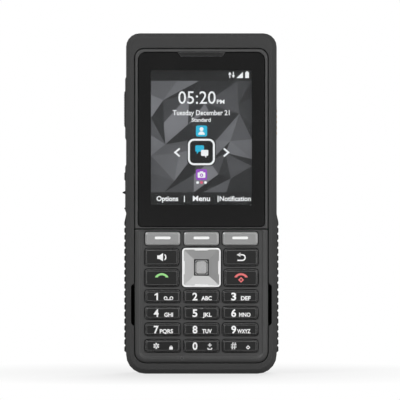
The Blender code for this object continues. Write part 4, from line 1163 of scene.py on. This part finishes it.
@dataclass
class Window(SubAssembly):
    """The cover glass, the glossy black border round its clear part, and the earpiece strip."""

    finishes: dict[str, Finish] = field(default_factory=lambda: {"window_glass": Finish.GLASS})
    border_thick: float = 0.03
    border_inset: float = 0.08
    opening: tuple[float, float, float, float] = (-21.75, 72.4, 21.75, 130.25)
    top_radius: float = 3.4
    foot_radius: float = 1.6
    notch_slant: float = 1.3
    notch_spare: float = 0.1
    hole_pitch: float = 0.55
    hole_size: tuple[float, float, float] = (0.3, 0.3, 0.02)
    plain_ends: float = 4.0

    def build(self) -> None:
        """Print the border on the front of the glass and set the earpiece's perforations."""
        glass = NodeBox("window_glass")
        low_x, low_z, high_x, high_z = self.opening
        front = Vector((0, glass.low.y, 0))
        hole = [(low_x, low_z), (low_x, high_z), (high_x, high_z), (high_x, low_z)]
        border = FlatArt(self.border_thick)
        border.outlines(self.outline(-self.border_inset, self.top_radius, self.foot_radius,
                                     self._notch(glass)), hole)
        border.lay("window_border", Finish.BORDER, Facing.FRONT, front, "root", "window_glass")
        self._earpiece()

    @staticmethod
    def outline(grow: float, high: float, foot: float, notch: Loop | None = None) -> Loop:
        """Return the glass's outline, grown all round.

        Args:
            grow: how far it is grown, or shrunk if it is below zero.
            high: the radius of its upper corners.
            foot: the radius of its lower corners.
            notch: a notch in its top edge, if it has one.

        Returns:
            The closed outline's points.
        """
        glass = NodeBox("window_glass")
        half = glass.size.x / 2 + grow
        top = glass.high.z / MM + grow
        base = glass.low.z / MM - grow
        return [*arc_points((half - high, top - high), high, 0, 90), *(notch or []),
                *arc_points((high - half, top - high), high, 90, 180),
                *arc_points((foot - half, base + foot), foot, 180, 270),
                *arc_points((half - foot, base + foot), foot, 270, 360)]

    def _notch(self, glass: NodeBox) -> Loop:
        """Return the notch for the earpiece in the border's top edge.

        Args:
            glass: the cover glass.

        Returns:
            The notch's points, from right to left.
        """
        strip = NodeBox("earpiece_mesh")
        top = glass.high.z / MM - self.border_inset
        base = strip.low.z / MM - self.notch_spare
        wide = strip.size.x / 2 + self.notch_spare
        narrow = wide - self.notch_slant
        return [(wide, top), (narrow, base), (-narrow, base), (-wide, top)]

    def _earpiece(self) -> None:
        """Set the rows of holes in the earpiece strip as dark dots of painted shade."""
        strip = NodeBox("earpiece_mesh")
        columns = int((strip.size.x - self.plain_ends) / self.hole_pitch)
        holes = StudField("earpiece_holes_painted_shade", Stud.PEG, columns, 2, self.hole_pitch,
                          self.hole_pitch, self.hole_size, self.hole_pitch / 2)
        place = strip.face(Facing.FRONT)
        place.x -= self.hole_pitch / 4 * MM
        holes.lay(Finish.DARK, Facing.FRONT, place, "root", "steel_mesh")


@dataclass(frozen=True)
class Layer:
    """One layer of the lit picture, with its level in front of the display. Words come first."""

    piece: str
    finish: Finish
    level: int
    shapes: tuple[Shape, ...] = ()
    words: tuple[Word, ...] = ()


@dataclass
class ScreenPicture(SubAssembly):
    """What the lit screen shows: status row, clock, date, three round-cornered signs, soft words.

    The picture stands a little in front of the display's own face, in layers.
    """

    half_width: float = 21.62
    low: float = 72.6
    high: float = 130.1
    facets_low: float = 77.8
    facets_high: float = 125.6
    layer: float = 0.05
    columns: int = 6
    rows: int = 7
    seed: int = 11
    jitter: float = 0.42
    relief: float = 9.0
    light_from: tuple[float, float, float] = (-0.55, 0.35, 0.62)
    shade: tuple[float, float] = (34.0, 92.0)
    blue_share: float = 1.03
    fold: float = 0.14
    fold_shade: tuple[float, float, float] = (6.0, 1.35, 150.0)
    layers: tuple[Layer, ...] = (
        Layer("screen_sign_plate", Finish.LIT_SHADOW, 3, (
            [round_box((0.0, 95.1), 12.4, 12.2, 2.9)],)),
        Layer("screen_status", Finish.LIT_WHITE, 4, (
            band([(12.2, 126.8), (12.2, 128.8)], 0.4),
            [[(11.5, 128.3), (12.9, 128.3), (12.2, 129.5)]],
            band([(13.7, 127.5), (13.7, 129.5)], 0.4),
            [[(13.0, 128.0), (13.7, 126.8), (14.4, 128.0)]],
            [[(15.0, 126.8), (17.8, 126.8), (17.8, 129.4)]],
            [[(18.8, 126.8), (20.4, 126.8), (20.4, 129.3), (20.0, 129.3), (20.0, 129.7),
              (19.2, 129.7), (19.2, 129.3), (18.8, 129.3)]])),
        Layer("screen_clock", Finish.LIT_WHITE, 4, words=(
            Word("05:20", 5.3, (-1.9, 115.8), 16.0, 0.02),
            Word("PM", 1.7, (6.6, 115.8), 3.3, 0.05, Align.LEFT),
            Word("Tuesday December 21", 2.1, (-0.1, 110.9), 24.4, 0.05),
            Word("Standard", 1.6, (-0.1, 108.1), 8.2, 0.05))),
        Layer("screen_cyan_signs", Finish.LIT_CYAN, 4, (
            [round_box((0.05, 104.1), 4.8, 4.7, 0.8)],
            [round_box((-0.75, 96.6), 3.7, 2.7, 0.5)],
            [[(-2.1, 95.6), (-0.9, 95.6), (-1.9, 94.2)]])),
        Layer("screen_purple_sign", Finish.LIT_PURPLE, 4, (
            [round_box((0.05, 85.4), 4.8, 4.7, 0.8)],)),
        Layer("screen_white_signs", Finish.LIT_WHITE, 5, (
            [disc((0.05, 104.9), 0.85)],
            [arc_points((0.05, 102.5), 1.45, 0, 180)],
            [round_box((1.4, 94.7), 3.1, 2.6, 0.45)],
            [[(1.3, 93.8), (2.3, 93.8), (1.9, 92.5)]],
            [round_box((0.05, 85.2), 3.3, 2.3, 0.35), disc((0.05, 85.15), 0.72)],
            [round_box((0.05, 86.5), 1.5, 0.6, 0.15)],
            [disc((0.05, 85.15), 0.32)],
            band(round_box((0.0, 95.1), 10.7, 10.5, 2.2), 0.85, closed=True),
            band([(-9.3, 96.6), (-11.3, 94.9), (-9.3, 93.2)], 0.75),
            band([(9.6, 96.6), (11.6, 94.9), (9.6, 93.2)], 0.75),
            [disc((-1.65, 82.0), 0.6)],
            [disc((1.75, 82.0), 0.6)])),
        Layer("screen_page_dot", Finish.LIT_ROSE, 5, ([disc((0.05, 82.0), 0.6)],)),
        Layer("screen_soft_words", Finish.LIT_WHITE, 4, (
            [[(-7.5, 73.6), (-7.1, 73.6), (-7.1, 76.3), (-7.5, 76.3)]],
            [[(6.95, 73.6), (7.35, 73.6), (7.35, 76.3), (6.95, 76.3)]]), (
            Word("Options", 2.0, (-14.6, 74.1), 9.3, 0.09),
            Word("Menu", 2.1, (0.0, 74.1), 7.4, 0.09),
            Word("Notification", 2.0, (7.8, 74.1), 13.4, 0.07, Align.LEFT))))

    def build(self) -> None:
        """Make every layer of the picture."""
        across, low, high = self.half_width, self.low, self.high
        ground = [(-across, low), (across, low), (across, high), (-across, high)]
        self._lay(Layer("screen_ground", Finish.LIT_BAR, 1, ([ground],)))
        self._facets()
        for layer in self.layers:
            self._lay(layer)

    def _place(self, level: int) -> Vector:
        """Return where a level's sheet has its zero, in front of the display."""
        face = NodeBox("display_module").face(Facing.FRONT)
        return Vector((0.0, face.y, 0.0)) - Vector((0, level * self.layer * MM, 0))

    def _lay(self, layer: Layer) -> None:
        """Draw one layer of the picture and lay it at its level."""
        art = FlatArt().words(*layer.words).shapes(*layer.shapes)
        art.lay(layer.piece, layer.finish, Facing.FRONT, self._place(layer.level), "root", "display")

    def _grid(self, chance: random.Random) -> dict[tuple[int, int], Vector]:
        """Return the backdrop's folds as a jittered grid.

        Args:
            chance: the source of the jitter.

        Returns:
            Each point by its column and row, with its height as the third number.
        """
        wide = 2 * self.half_width / (self.columns - 1)
        tall = (self.facets_high - self.facets_low) / (self.rows - 1)
        points = {}
        for i in range(self.columns):
            for j in range(self.rows):
                inside = (0 < i < self.columns - 1, 0 < j < self.rows - 1)
                aside, along = (chance.uniform(-self.jitter, self.jitter) if free else 0
                                for free in inside)
                points[i, j] = Vector((-self.half_width + wide * (i + aside),
                                       self.facets_low + tall * (j + along),
                                       chance.uniform(0, self.relief)))
        return points

    def _facets(self) -> None:
        """Make the backdrop of folded paper facets, each its own grey, with paler folds."""
        chance = random.Random(self.seed)
        points = self._grid(chance)
        lamp = Vector(self.light_from).normalized()
        darkest, span = self.shade
        shape = bmesh.new()
        shade_layer = shape.faces.layers.float.new("shade")
        for i in range(self.columns - 1):
            for j in range(self.rows - 1):
                square = [points[i, j], points[i + 1, j], points[i + 1, j + 1], points[i, j + 1]]
                turn = chance.randrange(2)
                for corners in ((0, 1, 2), (0, 2, 3)):
                    triple = [square[(c + turn) % 4] for c in corners]
                    slope = (triple[1] - triple[0]).cross(triple[2] - triple[0]).normalized()
                    face = shape.faces.new([shape.verts.new((p.x, p.y, 0)) for p in triple])
                    face[shade_layer] = darkest + span * max(0.0, slope.dot(lamp)) ** 2.0
        rise, gain, palest = self.fold_shade
        folds = bmesh.ops.inset_individual(shape, faces=shape.faces[:], thickness=self.fold)
        for face in folds["faces"]:
            face[shade_layer] = min(palest, face[shade_layer] * gain + rise)
        mesh = mesh_from(shape, Finish.LIT_FACETS)
        self._colour(mesh)
        mesh.transform(Facing.FRONT.matrix(self._place(2)))
        settle(mesh, "screen_facets", "root")

    def _colour(self, mesh: bpy.types.Mesh) -> None:
        """Write each facet's grey to the colour attribute that the finish reads.

        Args:
            mesh: the backdrop, with a shade on each face.
        """
        shades = [item.value for item in mesh.attributes["shade"].data]
        colours = mesh.color_attributes.new("facet_shade", "FLOAT_COLOR", "CORNER")
        for face, shade in zip(mesh.polygons, shades):
            for corner in face.loop_indices:
                colours.data[corner].color = (*tint(shade, shade, shade * self.blue_share), 1.0)


@dataclass
class NumberKeys(SubAssembly):
    """The twelve number keys with their digits, letters and signs."""

    finishes: dict[str, Finish] = field(
        default_factory=lambda: dict.fromkeys(NUMBER_KEYS, Finish.KEY))
    digit_tall: float = 3.05
    digit_wide: float = 2.15
    digit_bold: float = 0.13
    digit_x: float = -2.75
    base_line: float = -1.6
    letter_tall: float = 1.65
    letter_right: float = 4.45
    letter_bold: float = 0.08
    letters: dict[str, tuple[str, float]] = field(default_factory=lambda: {
        "key_2": ("ABC", 4.5), "key_3": ("DEF", 4.1), "key_4": ("GHI", 3.8), "key_5": ("JKL", 3.9),
        "key_6": ("MNO", 4.9), "key_7": ("PQRS", 5.7), "key_8": ("TUV", 4.1),
        "key_9": ("WXYZ", 5.7)})
    star: tuple[float, float] = (1.3, 0.62)
    signs: dict[str, tuple[Shape, ...]] = field(default_factory=lambda: {
        "key_1": (
            [[(-2.67, -1.6), (-2.03, -1.6), (-2.03, 1.45), (-2.57, 1.45), (-3.47, 0.83),
              (-3.47, 0.25), (-2.67, 0.73)]],
            band(disc((1.25, -0.75), 0.62), 0.36, closed=True),
            band(disc((3.75, -0.75), 0.62), 0.36, closed=True),
            band([(1.25, -1.4), (3.75, -1.4)], 0.36)),
        "key_star": (
            [round_box((3.6, -1.0), 1.5, 1.15, 0.2)],
            band(arc_points((3.6, -0.45), 0.42, 0, 180), 0.26)),
        "key_0": (
            band([(3.6, -0.45), (3.6, 1.15)], 0.42),
            band([(2.85, 0.35), (4.35, 0.35)], 0.42),
            band([(2.7, -0.85), (2.9, -1.45), (4.3, -1.45), (4.5, -0.85)], 0.38)),
        "key_pound": (
            band([(-3.43, -1.45), (-3.07, 1.45)], 0.42), band([(-3.95, -0.5), (-1.55, -0.5)], 0.4),
            band([(-2.43, -1.45), (-2.07, 1.45)], 0.42), band([(-3.95, 0.5), (-1.55, 0.5)], 0.4),
            band([(3.4, -1.35), (4.1, -0.65), (3.4, 0.05), (2.7, -0.65)], 0.34, closed=True))})
    pip: StudField = StudField("key_5_pip", Stud.PEG, 1, 1, 1.0, 1.0, (1.5, 0.5, 0.16))
    pip_height: float = 1.9

    def build(self) -> None:
        """Print every key and raise the finger pip on the middle one."""
        for node in NUMBER_KEYS:
            art = FlatArt().words(*self._words(node))
            if node == "key_star":
                self._star(art)
            art.shapes(*self.signs.get(node, ()))
            art.lay(f"legend_{node}", Finish.WHITE, Facing.FRONT, NodeBox(node).face(Facing.FRONT),
                    node, "key_plastic")
        place = NodeBox("key_5").face(Facing.FRONT)
        place.z += self.pip_height * MM
        self.pip.lay(Finish.KEY, Facing.FRONT, place, "key_5", "key_plastic")

    def _words(self, node: str) -> list[Word]:
        """Return a key's digit and letters. The one, the star and the hash are drawn as shapes.

        Args:
            node: the key.

        Returns:
            Its words, digit first.
        """
        words = []
        digit = node.removeprefix("key_")
        if digit in "023456789":
            words.append(Word(digit, self.digit_tall, (self.digit_x, self.base_line),
                              self.digit_wide, self.digit_bold))
        if node in self.letters:
            text, wide = self.letters[node]
            words.append(Word(text, self.letter_tall, (self.letter_right, self.base_line), wide,
                              self.letter_bold, Align.RIGHT))
        return words

    def _star(self, art: FlatArt) -> None:
        """Draw a six-armed star."""
        arm, width = self.star
        for turn in (30, 90, 150):
            across = Vector((math.cos(math.radians(turn)), math.sin(math.radians(turn)))) * arm
            art.line([(self.digit_x - across.x, -across.y), (self.digit_x + across.x, across.y)],
                     width)


@dataclass
class CallKeys(SubAssembly):
    """The speaker, back, call and end keys beside the pad, with their signs."""

    finishes: dict[str, Finish] = field(
        default_factory=lambda: dict.fromkeys(CALL_KEYS, Finish.KEY))
    speaker: tuple[Shape, ...] = (
        [[(-1.9, -0.75), (-1.05, -0.75), (0.55, -1.75), (0.55, 1.75), (-1.05, 0.75),
          (-1.9, 0.75)]],
        band(arc_points((0.2, 0.0), 1.55, -48, 48), 0.5))
    back: tuple[Shape, ...] = (
        band([(-0.95, 1.05), (0.55, 1.05), *arc_points((0.55, -0.15), 1.2, 80, -80),
              (0.55, -1.35), (-1.6, -1.35)], 0.55),
        [[(-1.85, 1.05), (-0.3, 2.0), (-0.3, 0.1)]])
    handset: tuple[Shape, ...] = (
        [[*arc_points((0.0, -1.4), 3.4, 36, 144, 12), (-2.8, 0.2), (-1.6, 0.2),
          *arc_points((0.0, -1.4), 2.5, 128, 52, 12), (1.6, 0.2), (2.8, 0.2)]],)
    diamond: tuple[Shape, ...] = (
        [[(0.0, -2.05), (1.25, -0.85), (0.0, 0.35), (-1.25, -0.85)], disc((0.0, -0.85), 0.42)],)

    def build(self) -> None:
        """Print the four signs: a loudspeaker, an arrow that turns back and two handsets."""
        for sign, finish, shapes in (("speaker", Finish.WHITE, self.speaker),
                                     ("back", Finish.WHITE, self.back),
                                     ("call", Finish.GREEN, self.handset),
                                     ("end", Finish.SALMON, self.handset + self.diamond)):
            node = f"{sign}_key"
            FlatArt().shapes(*shapes).lay(f"legend_{sign}", finish, Facing.FRONT,
                                          NodeBox(node).face(Facing.FRONT), node, "key_plastic")


@dataclass
class SoftKeys(SubAssembly):
    """The three silver keys under the window, each with a white bar."""

    finishes: dict[str, Finish] = field(
        default_factory=lambda: dict.fromkeys(SOFT_KEYS, Finish.SOFTKEY))
    bar: tuple[float, float, float] = (6.8, 1.15, 0.565)
    bar_height: float = 0.29

    def build(self) -> None:
        """Inlay the bars."""
        for node in SOFT_KEYS:
            art = FlatArt().outlines(round_box((0.0, self.bar_height), *self.bar))
            art.lay(node.replace("softkey", "softkey_bar"), Finish.WHITE, Facing.FRONT,
                    NodeBox(node).face(Facing.FRONT), node, "silver_plastic")


@dataclass
class DirectionPad(SubAssembly):
    """The square pad: a bright rim with heavier middles, a dished face and a knurled OK key."""

    finishes: dict[str, Finish] = field(default_factory=lambda: {"ok_key": Finish.OK_BASE})
    rim_width: float = 0.75
    tab_width: float = 1.15
    tab_half: float = 2.7
    corner: float = 1.6
    rim_depth: float = 1.1
    face_drop: float = 0.3
    face_tuck: float = 0.2
    dish: float = 0.68
    hole_gap: float = 0.3
    edge_round: float = 0.14
    knurl_pitch: float = 0.84
    knurl_rise: float = 0.3
    knurl_share: float = 0.98
    knurl_area: tuple[float, float] = (4.6, 5.2)
    gusset: tuple[float, float] = (0.12, 1.3)
    # Width of the dark stroke of painted shade at each corner of the OK key.
    notch: float = 0.3
    shade_proud: float = 0.02

    def build(self) -> None:
        """Make the rim, the dished face and the knurl."""
        self.box = NodeBox("nav_ring")
        self.ok = NodeBox("ok_key")
        self._rim()
        self._face()
        self._knurl()

    def _rim(self) -> None:
        """Make the rim as a softened frame whose sides widen at their middles."""
        wide, high = self.box.size.x, self.box.size.z
        inner_x = wide / 2 - self.rim_width
        inner_z = high / 2 - self.rim_width
        step = self.tab_width - self.rim_width
        corner = self.corner - self.rim_width
        loop: Loop = []
        for quarter in range(4):
            half, side = (inner_x, inner_z) if quarter % 2 == 0 else (inner_z, inner_x)
            edge = [*arc_points((half - corner, -side + corner), corner, -90, 0, 4),
                    (half, -self.tab_half - step), (half - step, -self.tab_half),
                    (half - step, self.tab_half), (half, self.tab_half + step)]
            turn = math.radians(90 * quarter)
            loop += [(x * math.cos(turn) - z * math.sin(turn),
                      x * math.sin(turn) + z * math.cos(turn)) for x, z in edge]
        rim = FlatArt(self.rim_depth)
        rim.outlines(round_box((0, 0), wide, high, self.corner), loop, soften=self.edge_round)
        place = self.box.face(Facing.FRONT)
        place.y += self.rim_depth * MM
        piece = rim.lay("pad_rim", Finish.RIM, Facing.FRONT, place, "nav_ring", "silver_plastic")
        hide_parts("nav_ring")

    def _face(self) -> None:
        """Make the four sloping facets as one closed plate with a hole for the OK key."""
        inset = self.rim_width - self.face_tuck
        outer = (self.box.size.x / 2 - inset, self.box.size.z / 2 - inset)
        hole = (self.ok.size.x / 2 + self.hole_gap, self.ok.size.z / 2 + self.hole_gap)
        front = -self.face_drop
        levels = ((outer, front), (hole, front - self.dish), (hole, -self.box.size.y),
                  (outer, -self.box.size.y))
        shape = bmesh.new()
        loops = [[shape.verts.new((x * half[0], z * half[1], level))
                  for x, z in ((-1, -1), (1, -1), (1, 1), (-1, 1))] for half, level in levels]
        for k, loop in enumerate(loops):
            following = loops[(k + 1) % len(loops)]
            for i in range(4):
                j = (i + 1) % 4
                shape.faces.new((loop[i], loop[j], following[j], following[i]))
        mesh = mesh_from(shape, Finish.DISH, turn_out=True)
        mesh.transform(Facing.FRONT.matrix(self.box.face(Facing.FRONT)))
        settle(mesh, "pad_face", "nav_ring")

    def _knurl(self) -> None:
        """Set the crossed knurl on the OK key and the painted shade at its corners."""
        columns = int(self.knurl_area[0] / self.knurl_pitch)
        rows = int(self.knurl_area[1] / self.knurl_pitch * 2)
        base = self.knurl_pitch * self.knurl_share
        size = (base, base, self.knurl_rise)
        knurl = StudField("ok_knurl", Stud.PYRAMID, columns, rows, self.knurl_pitch,
                          self.knurl_pitch / 2, size, self.knurl_pitch / 2)
        place = self.ok.face(Facing.FRONT)
        place.x -= self.knurl_pitch / 4 * MM
        knurl.lay(Finish.KNURL, Facing.FRONT, place, "ok_key", "silver_plastic")
        half_x, half_z = self.ok.size.x / 2, self.ok.size.z / 2
        near, far = self.gusset
        gussets = FlatArt(self.knurl_rise)
        corner_shades = FlatArt(self.knurl_rise + self.shade_proud)
        for x, z in ((1, 1), (-1, 1), (-1, -1), (1, -1)):
            corner = ((near, far), (near * 2, near * 2), (far, near))
            gussets.outlines([(x * (half_x - a), z * (half_z - b)) for a, b in corner])
            # Each corner's dark stroke is painted shade.
            ends = ((near * 2, far), (far, near * 2))
            corner_shades.line([(x * (half_x - a), z * (half_z - b)) for a, b in ends], self.notch)
        gussets.lay("ok_gussets", Finish.DISH, Facing.FRONT, self.ok.face(Facing.FRONT), "ok_key",
                    "silver_plastic")
        corner_shades.lay("ok_corner_painted_shade", Finish.DARK, Facing.FRONT, self.ok.face(Facing.FRONT), "ok_key",
                    "silver_plastic")


@dataclass
class DarkGaps(SubAssembly):
    """Painted shade round the key openings and the black seal round the cover glass."""

    gap: float = 0.3
    shade_spill: float = 0.16
    clear: float = 0.04
    floor_drop: float = 0.45
    key_corner: float = 1.2
    pad_corner: float = 1.6

    def build(self) -> None:
        """Paint the shade round the openings and make the glass's seal."""
        floor = Vector((0, NodeBox("keypad_frame").face(Facing.FRONT).y, 0))
        floor.y += self.floor_drop * MM
        # A near-black ring on the frame round each opening is painted shade where the opening's edge
        # falls away.
        edges = FlatArt()
        for key in (*SOFT_KEYS, *CALL_KEYS, "nav_ring", *NUMBER_KEYS):
            corner = self.pad_corner if key == "nav_ring" else self.key_corner
            edges.outlines(self._ring(NodeBox(key), corner, self.gap + self.shade_spill),
                           self._ring(NodeBox(key), corner, self.gap + self.clear))
        edges.lay("key_opening_edges", Finish.SLOT, Facing.FRONT, floor, "root", "key_plastic")
        self._seal()

    @staticmethod
    def _ring(box: NodeBox, corner: float, grow: float) -> Loop:
        """Return a key's outline grown all round.

        Args:
            box: the key's box.
            corner: the key's corner radius.
            grow: how far it is grown.

        Returns:
            The closed outline's points.
        """
        middle = (box.middle.x / MM, box.middle.z / MM)
        return round_box(middle, box.size.x + 2 * grow, box.size.z + 2 * grow, corner + grow)

    def _seal(self) -> None:
        """Set the black seal round the cover glass, in the gap to its frame, as painted shade too."""
        window = Window()
        glass = NodeBox("window_glass")
        seal = FlatArt(glass.size.y - self.gap)
        seal.outlines(*(window.outline(grow, window.top_radius + grow, window.foot_radius + grow)
                        for grow in (self.gap - self.clear, self.clear)))
        seal.lay("window_seal", Finish.SLOT, Facing.FRONT, Vector((0, glass.high.y, 0)), "root",
                 "silicone")


@dataclass
class RearOptics(SubAssembly):
    """The camera window with its lens, the flash and the ridges of both."""

    finishes: dict[str, Finish] = field(default_factory=lambda: {"camera_window": Finish.LENS})
    border_thick: float = 0.04
    border_inset: float = 0.2
    border_hole: float = 3.6
    border_gap: float = 0.06
    rings: RingSet = RingSet("camera_rings", 3, 2.7, 0.35, 0.12)
    ridges: RingSet = RingSet("flash_ridges", 4, 0.3, 0.35, 0.07)

    def build(self) -> None:
        """Make the border behind the window, the rings round the lens and the flash's ridges."""
        window = NodeBox("camera_window")
        border = FlatArt(self.border_thick)
        border.outlines(disc((0, 0), window.size.x / 2 - self.border_inset),
                        disc((0, 0), self.border_hole))
        ink = window.face(Facing.BACK)
        ink.y = window.low.y - self.border_gap * MM
        border.lay("camera_border", Finish.DARK, Facing.BACK, ink, "root", "window_glass")
        place = window.face(Facing.BACK)
        place.y = NodeBox("rear_camera").high.y + self.rings.wire * MM
        self.rings.lay(Finish.LATCH, Facing.BACK, place, "root")
        self.ridges.lay(Finish.FLASH, Facing.BACK, NodeBox("flash_lens").face(Facing.BACK), "root",
                        "flash_plastic")


# ---------------------------------------------------------------------------------------------
# Studio
# ---------------------------------------------------------------------------------------------


@dataclass
class Studio:
    """The pale floor, the soft lights and the camera."""

    camera_distance: float = 2.0
    view_width: float = 0.1714
    view_middle: tuple[float, float] = (-0.0006, 0.0745)
    sensor: float = 36.0
    floor_radius: float = 3.0
    shadow_reach: tuple[float, float] = (0.04, 0.14)
    shadow_share: float = 0.3
    lamps: tuple[tuple[str, tuple[float, float, float], float, float], ...] = (
        ("front_light", (0.45, -1.5, 0.65), 0.6, 9.5),
        ("left_light", (-0.9, -0.7, 0.9), 0.6, 9.5),
        ("right_light", (0.95, -0.45, 0.35), 0.6, 3.0),
        ("back_light", (0.3, 1.1, 0.9), 0.8, 16.0))

    def build(self) -> None:
        """Make the floor, the lights, the surroundings and the camera."""
        self._floor()
        self._surroundings()
        for lamp in self.lamps:
            self._light(*lamp)
        self._camera()

    def _floor(self) -> None:
        """Make a round pale floor."""
        shape = bmesh.new()
        bmesh.ops.create_circle(shape, cap_ends=True, segments=64, radius=self.floor_radius)
        mesh = bpy.data.meshes.new("floor")
        shape.to_mesh(mesh)
        shape.free()
        mesh.materials.append(self._paper())
        floor = bpy.data.objects.new("floor", mesh)
        bpy.context.scene.collection.objects.link(floor)

    def _paper(self) -> bpy.types.Material:
        """Make the floor's white paper, which runs into the white backdrop away from the handset."""
        material, sheet = blank_material("floor_paper")
        reach = sheet.add("ShaderNodeVectorMath", {"operation": "LENGTH"}, Vector=sheet.place)
        far = sheet.remap(reach.outputs["Value"], *self.shadow_reach, 1.0 - self.shadow_share, 1.0)
        seen = sheet.add("ShaderNodeLightPath").outputs["Is Camera Ray"]
        share = sheet.maths("MULTIPLY", far, seen)
        paper = sheet.add("ShaderNodeBsdfPrincipled", Base_Color=(0.55, 0.55, 0.55, 1.0),
                          Roughness=0.8)
        glow = sheet.add("ShaderNodeEmission", Color=(1.0, 1.0, 1.0, 1.0), Strength=1.0)
        sheet.end(sheet.choose(share, paper, glow))
        return material

    @staticmethod
    def _surroundings() -> None:
        """Light the handset softly from all round, with a white backdrop for the camera alone."""
        world = bpy.data.worlds.new("studio")
        world.use_nodes = True
        sheet = NodeSheet(world.node_tree)
        soft = sheet.add("ShaderNodeBackground", Color=(1.0, 1.0, 1.0, 1.0), Strength=0.14)
        white = sheet.add("ShaderNodeBackground", Color=(1.0, 1.0, 1.0, 1.0), Strength=1.0)
        seen = sheet.add("ShaderNodeLightPath").outputs["Is Camera Ray"]
        sheet.end(sheet.choose(seen, soft, white), "World")
        bpy.context.scene.world = world

    @staticmethod
    def _light(name: str, place: tuple[float, float, float], size: float, power: float) -> None:
        """Add a soft lamp that faces the handset's middle.

        Args:
            name: the lamp's name.
            place: where it hangs, in metres.
            size: the side of its square face.
            power: its power in watts.
        """
        lamp = bpy.data.lights.new(name, "AREA")
        lamp.size = size
        lamp.energy = power
        holder = bpy.data.objects.new(name, lamp)
        holder.location = place
        towards = (CAD_BOX[0] + CAD_BOX[1]) / 2 - Vector(place)
        holder.rotation_euler = towards.to_track_quat("-Z", "Y").to_euler()
        bpy.context.scene.collection.objects.link(holder)

    def _camera(self) -> None:
        """Set a long lens square on to the screen."""
        lens = bpy.data.cameras.new("camera")
        lens.sensor_width = self.sensor
        lens.lens = self.sensor * self.camera_distance / self.view_width
        lens.clip_end = 20.0
        camera = bpy.data.objects.new("camera", lens)
        x, z = self.view_middle
        camera.location = (x, CAD_BOX[0].y - self.camera_distance, z)
        camera.rotation_euler = (math.radians(90), 0.0, 0.0)
        bpy.context.scene.collection.objects.link(camera)
        bpy.context.scene.camera = camera


def main() -> None:
    """Build and dress every sub-assembly in order."""
    logging.basicConfig(level=logging.INFO, format="%(name)s %(message)s")
    bpy.context.scene.view_settings.view_transform = "Standard"
    Studio().build()
    for assembly in (Shells(), InnerParts(), NumberKeys(), CallKeys(), SoftKeys(), DirectionPad(),
                     Window(), DarkGaps(), ScreenPicture(), RearOptics()):
        LOG.info("building %s", type(assembly).__name__)
        assembly.build()
        assembly.dress()


if __name__ == "__main__":
    main()
